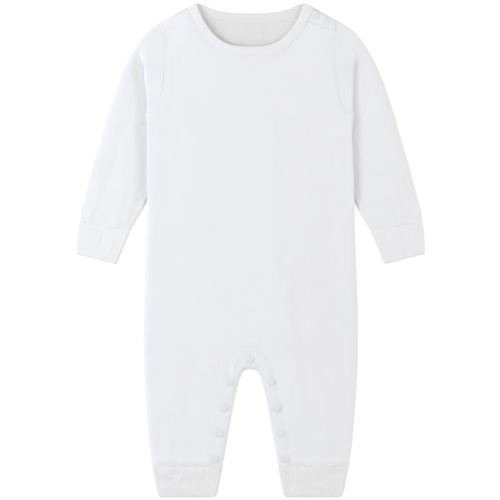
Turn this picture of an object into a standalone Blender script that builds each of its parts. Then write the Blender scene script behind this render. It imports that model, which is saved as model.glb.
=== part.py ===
"""Footless romper for a baby, laid flat on its back.

Frame: the garment lies on the plane z = 0. +X is the wearer's left, +Y runs towards the neck and
+Z is up, out of the chest. The origin is under the middle of the garment. Sizes in the tables are
millimetres; MM turns them into metres when a mesh is made.

Every piece of cloth is an open surface through the middle of its wall, made of sections, with a
Solidify modifier that gives the wall its thickness. Neighbours stay SEAM apart.
"""
import bpy
import numpy as np

MM = 0.001

# ---- driving sizes, mm ----
JERSEY = 1.0            # wall of the body and sleeves
RIB = 1.6               # wall of the neckband and cuffs, which are folded double
SEAM = 0.3              # gap between sewn neighbours
LIE = JERSEY / 2        # height of the middle of a panel that lies on the table
PUFF = 5.4              # height of the middle of the upper panels, away from their edges
LIFT = 3.1              # how far the back rises where it lies over a sleeve
NARROW = 70.0           # panel rows shorter than this have their insets squeezed
SEAM_ROLL = 20.0        # how far in from a sewn edge the upper panel reaches its full height
SWELL_RAMP = 10.0       # over how wide a strip the swell rises
LIFT_Y = (45.0, 62.0, 157.0, 166.0)     # along Y, the lift starts, is full, is full, has ended
SWELL = 0.6             # how far the front rises above a sleeve that lies under the back
ROLL = 12.0             # how far in from an edge the upper panel starts to roll down
EDGE_Z = 1.9            # height of the upper panel's edge where it meets the lower panel
OVER_SLEEVE_Z = 4.75    # the same where a sleeve lies underneath

# Distances in from the outer edge at which the panels have columns of points
FRONT_INSETS = (16.0, 8.0, 3.0, 0.8, 0.0)
FRONT_SHARES = (0.0, 0.35, 0.68)        # and the shares of the way out before those
BACK_INSETS = (24.5, 16.5, 0.0)
BACK_SHARES = (0.0, 0.35, 0.68)

# Inseam, from the ankle to the crotch: the placket's free edge and the seam that joins it to the leg
# edge_x, edge_y, seam_x, seam_y
INSEAM = (
    (34.0, -262.7, 50.0, -262.7),
    (30.0, -240.0, 46.0, -238.0),
    (24.0, -206.0, 40.0, -203.0),
    (18.6, -179.0, 34.5, -175.0),
    (13.6, -158.0, 29.0, -153.0),
    (9.6, -148.5, 22.0, -133.5),
    (5.5, -145.0, 11.5, -120.5),
    (0.0, -144.5, 0.0, -117.5),
)

# Side seam, from the ankle to the underarm: x, y
SIDE_LEG = (
    (119.0, -262.7),
    (122.5, -240.0),
    (125.8, -205.0),
    (127.8, -178.0),
    (129.4, -152.0),
    (130.2, -128.0),
    (130.4, -112.0),
    (130.4, -98.0),
)
# centre_y, side_x, side_y
TORSO = (
    (-82.0, 130.2, -72.0),
    (-45.0, 129.0, -38.0),
    (-2.0, 127.5, 2.0),
    (32.0, 126.0, 36.0),
    (50.0, 125.5, 52.0),
    (68.0, 125.0, 66.0),
    (98.0, 124.6, 98.0),
    (130.0, 124.7, 128.0),
    (156.0, 125.0, 154.0),
    (168.0, 125.0, 160.0),
)

# Armhole, from the underarm to the shoulder tip: x, y, height of the upper panel there
ARMHOLE = (
    (121.5, 163.6, 5.2),
    (115.7, 169.0, 5.4),
    (111.1, 177.5, 5.4),
    (108.1, 189.0, 5.4),
    (106.1, 202.0, 5.4),
    (105.0, 216.0, 5.4),
    (104.4, 229.0, 5.4),
    (104.2, 238.0, 5.4),
    (104.2, 246.0, 5.4),
    (104.3, 255.0, 5.4),
    (104.5, 264.0, 5.2),
    (104.8, 272.0, 4.2),
    (105.0, 278.2, 2.5),
)

# Neckband, front half, from the middle to the shoulder: free edge, seam, height
NECK_FRONT = (
    (0.0, 246.6, 0.0, 235.6, 5.2),
    (13.0, 247.0, 14.0, 236.2, 5.2),
    (24.7, 249.2, 27.3, 238.3, 5.2),
    (35.6, 254.2, 41.2, 244.5, 5.2),
    (45.0, 262.0, 53.0, 254.2, 5.2),
    (52.6, 272.0, 61.8, 265.3, 5.2),
    (58.7, 282.0, 69.1, 277.2, 5.0),
    (63.0, 292.0, 74.0, 287.6, 4.3),
    (65.0, 297.6, 76.0, 292.8, 3.4),
)
# Back half, from the shoulder to the middle
NECK_BACK = (
    (64.6, 299.2, 75.2, 294.6, 1.0),
    (57.7, 297.0, 63.3, 288.8, RIB / 2),
    (48.8, 293.3, 52.3, 283.4, RIB / 2),
    (37.0, 289.7, 38.5, 279.0, RIB / 2),
    (20.0, 287.7, 20.4, 276.8, RIB / 2),
    (0.0, 287.0, 0.0, 276.0, RIB / 2),
)
NECK_FOLD = (66.4, 299.4, 77.0, 294.2, 2.2)      # where the front half turns into the back half

NECK_SPREAD = 1.004     # the panel's neck seam is this much wider than the band's, to leave the gap
SHOULDER_Z = (5.3, 4.3, 2.5)        # height of the middle of the upper panel's last rows

# Where each armhole row of the body starts: centre line first, then along the neck seam
FRONT_STARTS = ((0.0, 184.0), (0.0, 200.0), (0.0, 215.0), (0.0, 227.0))
BACK_STARTS = ((0.0, 190.0), (0.0, 210.0), (0.0, 230.0), (0.0, 248.0), (0.0, 262.0), (0.0, 275.7),
               (10.0, 275.9), (20.4, 276.5), (38.5, 278.7), (52.3, 283.1), (63.3, 288.5),
               (70.0, 291.4), (75.6, 294.0))

# Sleeve rows that start at the armhole: outer_x, outer_y, fold_x, valley_x, drop.
# The pleat folds over at fold_x and turns out again at valley_x. Where the two are equal it is only a
# step down, and drop is how much of the full height the step has, from 0 to 1.
SLEEVE_HEAD = (
    (175.0, 163.0, 125.9, 125.4, 1.0),
    (173.0, 168.0, 126.1, 121.5, 1.0),
    (170.5, 177.0, 126.6, 116.5, 1.0),
    (166.4, 189.0, 127.3, 114.5, 1.0),
    (162.0, 202.0, 128.0, 115.0, 1.0),
    (156.2, 216.0, 128.8, 120.0, 1.0),
    (150.0, 229.0, 130.3, 129.3, 0.9),
    (145.3, 238.0, 132.0, 132.0, 0.4),
    (140.0, 246.0, 130.0, 130.0, 0.0),
    (134.5, 254.7, 122.5, 122.5, 0.0),
    (126.0, 264.0, 114.5, 114.5, 0.0),
    (117.2, 270.6, 109.0, 109.0, 0.0),
    (111.6, 274.2, 107.0, 107.0, 0.0),
)
UNDERARM_CLEAR = 0.6    # extra gap beside the underarm, where the sleeve turns down steeply
UNDERARM_TOP = 172.0    # the extra gap starts here along Y
UNDERARM_RAMP = 8.0     # and is full this far below
# The row at the underarm point itself: start_x, start_y, height, then as above
UNDERARM = (125.6, 160.3, 4.5, 176.0, 160.3, 126.9, 126.9, 1.0)
# Sleeve rows below the underarm, closed into a tube: inner_x, inner_y, outer_x, outer_y, how far in
# from the inner edge the torso presses it flat, the height of its upper layer there, and the width
# over which the columns of the pleat spread out
SLEEVE_TUBE = (
    (127.4, 156.6, 176.8, 156.6, 2.0, 2.7, 8.0),
    (121.0, 150.5, 178.3, 150.5, 8.0, 2.2, 14.0),
    (112.8, 143.0, 180.3, 143.0, 14.0, 2.2, 20.0),
    (110.0, 126.0, 185.3, 126.0, 16.0, 2.2, 25.0),
    (110.5, 108.0, 190.7, 108.0, 15.0, 2.2, 28.0),
    (114.0, 92.0, 195.2, 92.0, 12.0, 2.2, 30.0),
    (119.5, 75.0, 199.5, 75.0, 7.0, 2.2, 30.0),
    (126.2, 60.0, 203.4, 60.0, 2.0, 2.3, 30.0),
    (133.0, 46.5, 206.6, 49.5, 0.0, 3.2, 28.0),
    (140.0, 33.8, 208.0, 40.5, 0.0, 3.8, 26.0),
    (145.8, 24.2, 208.5, 34.3, 0.0, 4.0, 25.0),
)
SLEEVE_Z = 4.9          # height of the middle of the sleeve's upper layer
PLEAT_Z = (3.9, 2.2)    # heights of the pleat's middle and lower layers

# Cuffs, from the seam to the hem: inner_x, inner_y, outer_x, outer_y
WRIST = (
    (146.0, 23.7, 208.6, 33.8),
    (151.5, 11.0, 210.2, 21.5),
    (157.2, -3.0, 211.0, 8.5),
    (161.4, -13.0, 211.6, -1.5),
    (163.4, -16.8, 211.2, -4.6),
)
ANKLE = (
    (34.2, -263.0, 118.9, -263.0),
    (36.8, -276.0, 116.2, -276.0),
    (39.2, -288.0, 113.9, -288.0),
    (41.2, -295.6, 112.0, -295.6),
    (44.0, -299.65, 109.2, -299.65),
)
CUFF_SHARES = (0.3, 0.5, 0.7)       # columns of points across a cuff, as shares of its width
WRIST_Z = 4.2           # height of the cuffs' upper layer, middle of the wall
ANKLE_Z = 4.8

# Placket across its width: share of the way from the seam to the free edge, front and back heights
PLACKET = (
    (0.0, 5.3, 1.8),
    (0.33, 5.3, 1.8),
    (0.68, 5.2, 1.8),
    (0.9, 4.6, 1.8),
    (1.0, 3.2, 1.8),
)
PLACKET_RISE = 14.0     # how far into the leg the back slopes up to the placket

SNAP_Y = (-163.0, -193.5, -224.0, -254.0)   # inseam snaps on each leg; one more is at the crotch
SNAP_INSET = 10.6       # from the placket's free edge to a snap's middle
CROTCH_SNAP_Y = -132.5
CAP_RADIUS = 5.0
CAP_HEIGHT = 1.3
CAP_DOME = 1.2          # how much narrower than its foot a cap's top is, all round
STUD_RADIUS = 4.0
SHOULDER_SNAPS = (0.25, 0.75)       # where along the shoulder tape its snaps are
SHOULDER_CAP_RADIUS = 4.2
SHOULDER_CAP_HEIGHT = 1.1
SHOULDER_CAP_DOME = 1.0
CAP_CLEAR = 0.5         # a cap stands this far off the tape, which isn't quite flat under it
TAPE_GAP = 0.4          # between the shoulder tape and the panel below it
TAPE_TRIM = (0.06, 0.3)             # how far its ends stop short, as shares of the end columns
TAPE_COLUMNS = [0, 1, 2, 3, 5, 7]   # the panel's columns that the tape keeps


# ---- helpers ----
def roll(distance, reach):
    """Quarter ellipse: 0 at an edge, 1 from `reach` inwards."""
    q = np.clip(np.asarray(distance, float) / reach, 0.0, 1.0)
    return np.sqrt(1.0 - (1.0 - q) ** 2)


def ease(t):
    """Smooth step from 0 to 1."""
    t = np.clip(t, 0.0, 1.0)
    return t * t * (3.0 - 2.0 * t)


def material(name, colour, roughness):
    """Plain cloth or plastic: one Principled BSDF."""
    mat = bpy.data.materials.new(name)
    mat.use_nodes = True
    shader = mat.node_tree.nodes["Principled BSDF"]
    shader.inputs["Base Color"].default_value = (*colour, 1.0)
    shader.inputs["Roughness"].default_value = roughness
    shader.inputs["Metallic"].default_value = 0.0
    return mat


def cloth(name, points, faces, thickness, mat):
    """A piece of cloth: faces through the middle of its wall, thickened both ways by Solidify."""
    used, faces = np.unique(faces.reshape(-1, 4), return_inverse=True)
    mesh = bpy.data.meshes.new(name)
    mesh.from_pydata((points[used] * MM).tolist(), [], faces.reshape(-1, 4).tolist())
    mesh.shade_smooth()
    mesh.materials.append(mat)
    piece = bpy.data.objects.new(name, mesh)
    garment.objects.link(piece)
    wall = piece.modifiers.new("wall", "SOLIDIFY")
    wall.thickness = thickness * MM
    wall.offset = 0.0


def quads(index):
    """The faces between neighbouring rows and columns of a table of point numbers."""
    corners = index[:-1, :-1], index[:-1, 1:], index[1:, 1:], index[1:, :-1]
    return np.stack(corners, axis=-1).reshape(-1, 4)


def sheet(name, grid, thickness, mat, loop=False, closed_rows=0):
    """Cloth through grid[row, column].

    loop joins the last row to the first. In the first closed_rows rows the last column is the same
    seam as the first, so that they close into a tube.
    """
    rows, columns, _ = grid.shape
    index = np.arange(rows * columns).reshape(rows, columns)
    index[:closed_rows, -1] = index[:closed_rows, 0]
    if loop:
        index = np.vstack([index, index[:1]])
    cloth(name, grid.reshape(-1, 3), quads(index), thickness, mat)


def on_side(grid, side):
    """The grid on the wearer's left, side 1, or mirrored to their right, side -1."""
    return grid if side > 0 else (grid * (-1.0, 1.0, 1.0))[:, ::-1]


def columns_between(inner, outer, shares, insets):
    """Points on straight rows from inner to outer: at shares of the way, then at insets from the end.

    Gives the points, and their distances to the outer and the inner end.
    """
    length = np.linalg.norm(outer - inner, axis=1)[:, None]
    insets = np.array(insets) * np.minimum(1.0, length / NARROW)
    insets = np.hstack([length - np.array(shares) * (length - insets[:, :1]), insets])
    at = 1.0 - insets / length
    return inner[:, None] + (outer - inner)[:, None] * at[..., None], insets, length - insets


# ---- body ----
def body_rows(starts):
    """Inner and outer ends of every row of a half panel, from the ankle to the shoulder seam."""
    inner = [(x + SEAM, y) for _, _, x, y in INSEAM[:-1]] + [(0.0, INSEAM[-1][3] + SEAM)]
    inner += [(0.0, y) for y, _, _ in TORSO] + list(starts)
    outer = list(SIDE_LEG) + [(x, y) for _, x, y in TORSO] + [(x, y) for x, y, _ in ARMHOLE]
    return np.array(inner), np.array(outer)


def lift_at(y):
    """How much of the lift over the sleeves there is at y."""
    start, full, still, end = LIFT_Y
    return ease((y - start) / (full - start)) * ease((end - y) / (end - still))


def front_half():
    """Upper panel: flat in the middle, rolled down to the lower panel at the side and shoulder."""
    neck_starts = [(x * NECK_SPREAD, y - SEAM) for _, _, x, y, _ in NECK_FRONT]
    inner, outer = body_rows([*FRONT_STARTS, *neck_starts])
    at, to_outer, to_inner = columns_between(inner, outer, FRONT_SHARES, FRONT_INSETS)
    sewn = len(ARMHOLE)
    outer_z = EDGE_Z + (OVER_SLEEVE_Z - EDGE_Z) * lift_at(outer[:, 1])
    outer_z[-sewn:] = [z for _, _, z in ARMHOLE]
    inner_z = np.full(len(inner), PUFF)
    inner_z[:len(INSEAM)] = PLACKET[0][1]
    inner_z[-len(NECK_FRONT):] = [z for *_, z in NECK_FRONT]
    middle_z = np.full(len(inner), PUFF)
    middle_z[-len(SHOULDER_Z):] = SHOULDER_Z
    reach = np.full(len(inner), ROLL)
    reach[-sewn:] = SEAM_ROLL
    z = (middle_z[:, None] - (middle_z - outer_z)[:, None] * (1.0 - roll(to_outer, reach[:, None]))
         - (middle_z - inner_z)[:, None] * (1.0 - roll(to_inner, SEAM_ROLL))
         + SWELL * lift_at(at[..., 1]) * ease((BACK_INSETS[0] - to_outer) / SWELL_RAMP))
    return np.dstack([at, z])


def back_half():
    """Lower panel: flat on the table, lifted where a sleeve lies under its side."""
    inner, outer = body_rows(BACK_STARTS)
    at, to_outer, to_inner = columns_between(inner, outer, BACK_SHARES, BACK_INSETS)
    legs = np.arange(len(inner)) < len(INSEAM)
    over_sleeve = ease((BACK_INSETS[0] - to_outer) / (BACK_INSETS[0] - BACK_INSETS[1]))
    up_to_placket = np.where(legs[:, None], 1.0 - ease(to_inner / PLACKET_RISE), 0.0)
    z = (LIE + LIFT * lift_at(at[..., 1]) * over_sleeve
         + (PLACKET[0][2] - LIE) * up_to_placket)
    return np.dstack([at, z])


def panel(name, half, mat):
    """A whole body panel: two half panels that share the middle line above the crotch."""
    rows, columns, _ = half.shape
    points = np.concatenate([half.reshape(-1, 3), half.reshape(-1, 3) * (-1.0, 1.0, 1.0)])
    left = np.arange(rows * columns).reshape(rows, columns)
    right = left + rows * columns
    on_middle = half[:, 0, 0] == 0.0
    right[on_middle, 0] = left[on_middle, 0]
    cloth(name, points, np.vstack([quads(left), quads(right)[:, ::-1]]), JERSEY, mat)


# ---- sleeves ----
PLEAT_COLUMNS = (0.0, 0.1, 0.22, 0.36, 0.5, 0.66, 0.83, 1.0)      # shares of the spread, on the tube
OUTER_SHARES = (0.1, 0.42, 0.76)        # of the rest of the upper layer
OUTER_INSETS = (5.0, 1.6)               # and mm in from the outer edge
RETURN_SHARES = (0.75, 0.4)             # of the lower layer, coming back in
RETURN_INSET = 2.0                      # and mm out from the inner edge
SLIM = 14.0             # rows shorter than this have their ends squeezed
NARROW_HEAD = 20.0      # and shorter than this, their step too
# The step where there is no pleat: distance past the fold, share of the way down
STEP = ((-0.9, 0.0), (-0.2, 0.12), (0.3, 0.36), (0.7, 0.64), (1.2, 0.88), (2.0, 1.0))
FULL_TUCK = 3.0         # a pleat this deep has both hairpins, a smaller one is part step
RISE_START = 3.0        # past the fold, the sleeve starts to rise again
RISE = 18.0             # over this distance
TUBE_RISE = 14.0        # the same beside the torso, on the tube
INNER_ROLL = 3.0        # edge rolls of the sleeve
OUTER_ROLL = 7.0


def pleated(length, top_z, fold, depth, drop):
    """Upper layer of a row that starts at the armhole: out to the fold, in to the valley, out again."""
    middle_z, low_z = (top_z - drop * (top_z - z) for z in PLEAT_Z)
    turn = (top_z - middle_z) / 2
    bend = (middle_z - low_z) / 2
    valley = fold - depth
    tuck = min(1.0, depth / FULL_TUCK)
    narrow = min(1.0, length / NARROW_HEAD)
    step = np.array(STEP) * (narrow, low_z - top_z) + (fold, top_z)
    hairpins = np.array([(fold - turn, top_z), (fold, (top_z + middle_z) / 2),
                         (fold - turn, middle_z), (valley + bend, middle_z),
                         (valley, (middle_z + low_z) / 2), (valley + bend, low_z)])
    bends = step + (hairpins - step) * tuck
    points = [(0.0, top_z), (0.5 * float(bends[0, 0]), top_z), *bends.tolist()]
    start = fold + STEP[-1][0] * narrow
    end = length - OUTER_INSETS[0] * min(1.0, length / SLIM)
    for share in OUTER_SHARES:
        d = start + share * (end - start)
        points.append((d, low_z + (SLEEVE_Z - low_z) * ease((d - fold - RISE_START) / RISE) * drop))
    return points


def tube_top(length, high, press, low_z, spread):
    """Upper layer of a closed row: pressed flat for `press` mm, then up to its full height."""
    inner_edge = (LIE + low_z) / 2
    start = np.array(PLEAT_COLUMNS) * spread
    rest = spread + np.array(OUTER_SHARES) * (length - spread - OUTER_INSETS[0])
    points = []
    for d in (*start, *rest):
        z = low_z + (high - low_z) * ease((d - press) / TUBE_RISE)
        points.append((d, inner_edge + (z - inner_edge) * roll(d, INNER_ROLL)))
    return points


def sleeve_row(inner, outer, upper, closed_z=0.0):
    """One section round the sleeve, from its inner end over the top to the outer edge and back under.

    closed_z is the height of the upper layer at the inner edge of a closed row, 0 on an open one.
    """
    inner = np.array(inner)
    outer = np.array(outer)
    length = float(np.linalg.norm(outer - inner))
    squeeze = min(1.0, length / SLIM)
    end_z = upper[-1][1]
    edge_z = (LIE + end_z) / 2
    ring = list(upper)
    ring += [(length - inset * squeeze, edge_z + (end_z - edge_z) * roll(inset, OUTER_ROLL))
             for inset in OUTER_INSETS]
    ring += [(length, edge_z), (length - 1.8 * squeeze, LIE)]
    ring += [(length * share, LIE) for share in RETURN_SHARES]
    ring.append((RETURN_INSET * squeeze, LIE))
    ring.append((0.0, (LIE + closed_z) / 2) if closed_z else (0.0, LIE))
    along = (outer - inner) / length
    return np.array([(*(inner + along * d), z) for d, z in ring])


def open_row(start_x, start_y, z, outer_x, outer_y, fold_x, valley_x, drop):
    """A row that starts at the armhole."""
    length = float(np.hypot(outer_x - start_x, outer_y - start_y))
    stretch = length / (outer_x - start_x)
    upper = pleated(length, z, (fold_x - start_x) * stretch, fold_x - valley_x, drop)
    return sleeve_row((start_x, start_y), (outer_x, outer_y), upper)


def sleeve(name, side, mat):
    """Tube from the cuff seam to the underarm, open above it along the armhole."""
    rows = []
    for inner_x, inner_y, outer_x, outer_y, press, low_z, spread in SLEEVE_TUBE[::-1]:
        length = float(np.hypot(outer_x - inner_x, outer_y - inner_y))
        upper = tube_top(length, SLEEVE_Z, press, low_z, spread)
        rows.append(sleeve_row((inner_x, inner_y), (outer_x, outer_y), upper, closed_z=low_z))
    rows.append(open_row(*UNDERARM))
    for (x, y, z), head in zip(ARMHOLE, SLEEVE_HEAD):
        clear = SEAM + UNDERARM_CLEAR * float(ease((UNDERARM_TOP - y) / UNDERARM_RAMP))
        rows.append(open_row(x + clear, y, z, *head))
    sheet(name, on_side(np.array(rows), side), JERSEY, mat, closed_rows=len(SLEEVE_TUBE))


def cuff(name, table, side, top_z, mat):
    """Flattened rib tube through the rows of its table."""
    low = RIB / 2
    radius = (top_z - low) / 2
    rows = []
    for inner_x, inner_y, outer_x, outer_y in table:
        inner = np.array((inner_x, inner_y))
        outer = np.array((outer_x, outer_y))
        length = float(np.linalg.norm(outer - inner))
        along = (outer - inner) / length
        ring = [(0.0, low + radius), (radius, top_z)]
        ring += [(length * share, top_z) for share in CUFF_SHARES]
        ring += [(length - radius, top_z), (length, low + radius), (length - radius, low)]
        ring += [(length * share, low) for share in CUFF_SHARES[::-1]]
        ring += [(radius, low), (0.0, low + radius)]
        rows.append([(*(inner + along * d), z) for d, z in ring])
    sheet(name, on_side(np.array(rows), side), RIB, mat, closed_rows=len(table))


def neckband(name, mat):
    """Rib band round the neck, folded flat at the shoulders: a closed loop of short cross rows."""
    half = [*NECK_FRONT, NECK_FOLD, *NECK_BACK]
    ring = half + [(-a, b, -c, d, z) for a, b, c, d, z in half[-2:0:-1]]
    rows = []
    for edge_x, edge_y, seam_x, seam_y, z in ring:
        edge = np.array((edge_x, edge_y, z))
        seam = np.array((seam_x, seam_y, z))
        rows.append([edge, (edge + seam) / 2, seam])
    sheet(name, np.array(rows), RIB, mat, loop=True)


# ---- plackets and snaps ----
def placket(name, height_column, mat):
    """Snap tape along the inseam, from one ankle over the crotch to the other."""
    rows = []
    for edge_x, edge_y, seam_x, seam_y in INSEAM:
        edge = np.array((edge_x, edge_y))
        seam = np.array((seam_x, seam_y))
        rows.append([(*(seam + (edge - seam) * row[0]), row[height_column]) for row in PLACKET])
    half = np.array(rows)
    other = half[-2::-1] * (-1.0, 1.0, 1.0)
    sheet(name, np.concatenate([half, other]), JERSEY, mat)


def disc(name, centre, radius, height, mat, sides=12, dome=0.0, normal=(0.0, 0.0, 1.0)):
    """Snap part: a short round prism on centre, along normal; dome narrows its top, as on a cap."""
    bpy.ops.mesh.primitive_cone_add(vertices=sides, radius1=radius * MM, radius2=(radius - dome) * MM,
                                    depth=height * MM, end_fill_type="NGON")
    piece = bpy.context.object
    piece.name = name
    piece.data.name = name
    for collection in list(piece.users_collection):
        collection.objects.unlink(piece)
    garment.objects.link(piece)
    piece.data.materials.append(mat)
    up = np.array(normal) / np.linalg.norm(normal)
    piece.rotation_euler = (float(np.arcsin(-up[1])), float(np.arctan2(up[0], up[2])), 0.0)
    piece.location = tuple((np.array(centre) + up * height / 2) * MM)


def inseam_point(y):
    """The middle of an inseam snap on the wearer's left leg, SNAP_INSET in from the free edge."""
    table = np.array(INSEAM)[::-1]
    edge = np.array([np.interp(-y, -table[:, 1], table[:, c]) for c in range(4)])
    across = edge[2:] - edge[:2]
    return edge[:2] + across / np.linalg.norm(across) * SNAP_INSET


def inseam_snaps(cap_mat, stud_mat):
    """Nine fastened snaps: a cap on the front, the joined halves between the tapes, a cap behind."""
    left_leg = [tuple(inseam_point(y)) for y in SNAP_Y]
    right_leg = [(-x, y) for x, y in left_leg]
    _, front_z, back_z = PLACKET[1]
    _, cap_side_z, _ = PLACKET[2]
    back_bottom = back_z - JERSEY / 2
    joined_bottom = back_z + JERSEY / 2 + SEAM
    joined_top = cap_side_z - JERSEY / 2 - SEAM
    for number, (x, y) in enumerate([*right_leg[::-1], (0.0, CROTCH_SNAP_Y), *left_leg], start=1):
        disc(f"inseam_snap_cap_{number}", (x, y, front_z + JERSEY / 2 + SEAM), CAP_RADIUS,
             CAP_HEIGHT, cap_mat, dome=CAP_DOME)
        disc(f"inseam_snap_joint_{number}", (x, y, joined_bottom), STUD_RADIUS,
             joined_top - joined_bottom, stud_mat, sides=8)
        disc(f"inseam_snap_back_{number}", (x, y, 0.0), CAP_RADIUS, back_bottom - SEAM, cap_mat,
             sides=10)


def shoulder_placket(name, half, cloth_mat, cap_mat):
    """Snap tape along the wearer's left shoulder seam, and its caps.

    The tape is the front panel's own points beside the shoulder, moved out along their normals.
    """
    rows = half[-3:]
    normal = np.cross(np.gradient(rows, axis=1), np.gradient(rows, axis=0))
    normal /= np.linalg.norm(normal, axis=2, keepdims=True)
    tape = rows + normal * np.sign(normal[..., 2:]) * (JERSEY + TAPE_GAP)
    tape[:, 0] += (tape[:, 1] - tape[:, 0]) * TAPE_TRIM[0]
    tape[:, -1] += (tape[:, -2] - tape[:, -1]) * TAPE_TRIM[1]
    sheet(name, tape[:, TAPE_COLUMNS], JERSEY, cloth_mat)
    for number, share in enumerate(SHOULDER_SNAPS, start=1):
        foot = tape[1, 0] + (tape[1, -1] - tape[1, 0]) * share
        up = normal[1, round(share * (tape.shape[1] - 1))]
        disc(f"shoulder_snap_cap_{number}", foot + up * (JERSEY / 2 + CAP_CLEAR), SHOULDER_CAP_RADIUS,
             SHOULDER_CAP_HEIGHT, cap_mat, sides=10, dome=SHOULDER_CAP_DOME, normal=up)


# ---- build ----
for old in list(bpy.data.objects):
    bpy.data.objects.remove(old, do_unlink=True)
garment = bpy.data.collections.new("footless_romper")
bpy.context.scene.collection.children.link(garment)

jersey = material("white jersey", (0.84, 0.85, 0.87), 0.9)
rib = material("white rib", (0.80, 0.81, 0.83), 0.9)
tape_cloth = material("white snap tape", (0.83, 0.84, 0.86), 0.85)
resin = material("white resin cap", (0.78, 0.79, 0.81), 0.4)
resin_inside = material("white resin stud", (0.74, 0.75, 0.77), 0.45)

front = front_half()
panel("front_body", front, jersey)
panel("back_body", back_half(), jersey)
sleeve("sleeve_left", 1, jersey)
sleeve("sleeve_right", -1, jersey)
neckband("neckband", rib)
cuff("wrist_cuff_left", WRIST, 1, WRIST_Z, rib)
cuff("wrist_cuff_right", WRIST, -1, WRIST_Z, rib)
cuff("ankle_cuff_left", ANKLE, 1, ANKLE_Z, rib)
cuff("ankle_cuff_right", ANKLE, -1, ANKLE_Z, rib)
placket("inseam_placket_front", 1, tape_cloth)
placket("inseam_placket_back", 2, tape_cloth)
inseam_snaps(resin, resin_inside)
shoulder_placket("shoulder_placket", front, tape_cloth, resin)
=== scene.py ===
"""Footless romper for a baby, laid flat on its back.

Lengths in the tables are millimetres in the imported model's frame: +X is the wearer's left, +Y runs
towards the neck, +Z is up out of the chest. MM turns them into metres when a mesh is made. Every
piece of cloth is a thin shell through the middle of its wall, on the form that its solid has.
"""

import bpy
import numpy as np
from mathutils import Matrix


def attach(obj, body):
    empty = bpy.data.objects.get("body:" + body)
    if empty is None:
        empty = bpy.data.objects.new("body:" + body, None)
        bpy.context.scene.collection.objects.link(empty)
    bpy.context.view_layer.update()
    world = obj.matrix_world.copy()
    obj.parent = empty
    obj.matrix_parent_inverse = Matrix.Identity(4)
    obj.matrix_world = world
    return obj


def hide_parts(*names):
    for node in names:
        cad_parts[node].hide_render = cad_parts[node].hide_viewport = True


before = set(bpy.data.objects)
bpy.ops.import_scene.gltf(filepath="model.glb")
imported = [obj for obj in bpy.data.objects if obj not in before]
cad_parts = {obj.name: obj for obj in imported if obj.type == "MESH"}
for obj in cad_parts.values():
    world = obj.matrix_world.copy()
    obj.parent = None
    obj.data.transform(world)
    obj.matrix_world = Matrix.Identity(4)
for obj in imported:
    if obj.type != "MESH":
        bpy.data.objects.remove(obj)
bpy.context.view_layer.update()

MM = 0.001

# ---- sizes shared with the solids, mm ----
JERSEY = 1.0            # wall of the body, sleeves and snap tapes
LAYER = 0.76            # wall of one layer of the rib pieces, which are folded double
FOLD = 0.42             # from the middle of a rib piece to the middle of either layer
SEAM = 0.3              # gap between sewn neighbours
TUCK = 1.3              # how far a seam allowance reaches under its neighbour
ALLOWANCE_DEPTH = 1.3   # and how far down it goes there
LIE = JERSEY / 2        # height of the middle of a panel that lies on the table
PUFF = 5.4              # height of the middle of the upper panels, away from their edges
SHOULDER_Z = (5.3, 4.3, 2.5)            # the same in the rows at the shoulder
EDGE_Z = 1.9            # height of the upper panel's edge where it meets the lower panel
OVER_SLEEVE_Z = 4.75    # the same where a sleeve lies underneath
ROLL = 8.0              # how far in from an edge the upper panel starts to roll down
ROLL_OVER_SLEEVE = (1.5, 3.5)           # the same where it lies on a sleeve, left and right
SEAM_ROLL = 20.0        # the same at a sewn edge
LIFT = 3.1              # how far the back rises where it lies over a sleeve
LIFT_Y = (45.0, 62.0, 157.0, 166.0)     # along Y, the lift starts, is full, is full, has ended
LIFT_INSETS = (24.5, 16.5)              # in from the side, it starts, is full
SWELL = 0.6             # how far the front rises above a sleeve that lies under the back
SWELL_Y = (45.0, 62.0, 157.0, 235.0)
SWELL_INSETS = (24.5, 14.5)
PLACKET_RISE = 14.0     # how far from the inseam the back starts to rise to the placket
BAND_RISE = (0.6, 9.0)  # how far the back rises to the neckband, and on what length
NARROW = 70.0           # shorter rows have their columns drawn together
NECK_SPREAD = 1.004     # how much wider the front's neck seam is, to reach under the band
ANKLE_Y = -262.7        # ankle seam
UNDERARM_COVER = 1.0    # how much wider the front is where the armhole's end lies on the sleeve
UNDERARM_ROOM = 2.6     # how much narrower the back is there
UNDERARM_SPAN = (158.0, 8.0)            # where that is along Y, and its half width

# How far the front neckline stands up on the wearer's right, and left; where along X it goes over
# from left to right; where along Y it starts and is full; how far below the seam it dies out
NECK_RISE = (2.4, -2.4)
NECK_TWIST = (58.0, -32.0)
NECK_RISE_Y = (297.0, 273.0)
NECK_RISE_REACH = 40.0
# How far the back's inside rises at the collar, and its half width; where it starts and is full
COLLAR_LIFT = (2.2, 18.0)
COLLAR_LIFT_X, COLLAR_LIFT_Y = (0.0, -25.0), (297.0, 283.0)
# How far the body's edge stands up beside the sleeves, and the half width of that, left and right:
# on the left it is highest a little way in, and on the right it sinks towards the edge itself
EDGE_RISE = ((0.8, 3.8), (-0.35, 4.5))
EDGE_RISE_Y = (34.0, 56.0, 190.0, 240.0)
EDGE_CREST = (-0.5, 2.0)                # in from the left edge, it starts, is highest
HOLE_LOW_Y = (166.0, 176.0, 212.0, 222.0)   # the armhole's lower half, where its seam dips
BACK_HOLE_Y = (158.0, 166.0)            # where the back goes inside the sleeve, and is there
# Where creases start and are full: from the front's side and armhole; from its inseam; and from the
# back's side, inseam and ankle
SIDE_CALM, HOLE_CALM = 9.0, 4.0
INSEAM_CALM = (1.0, 27.0)
BACK_CALM = ((6.0, 18.0), (4.0, 14.0), (2.0, 10.0))

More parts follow.
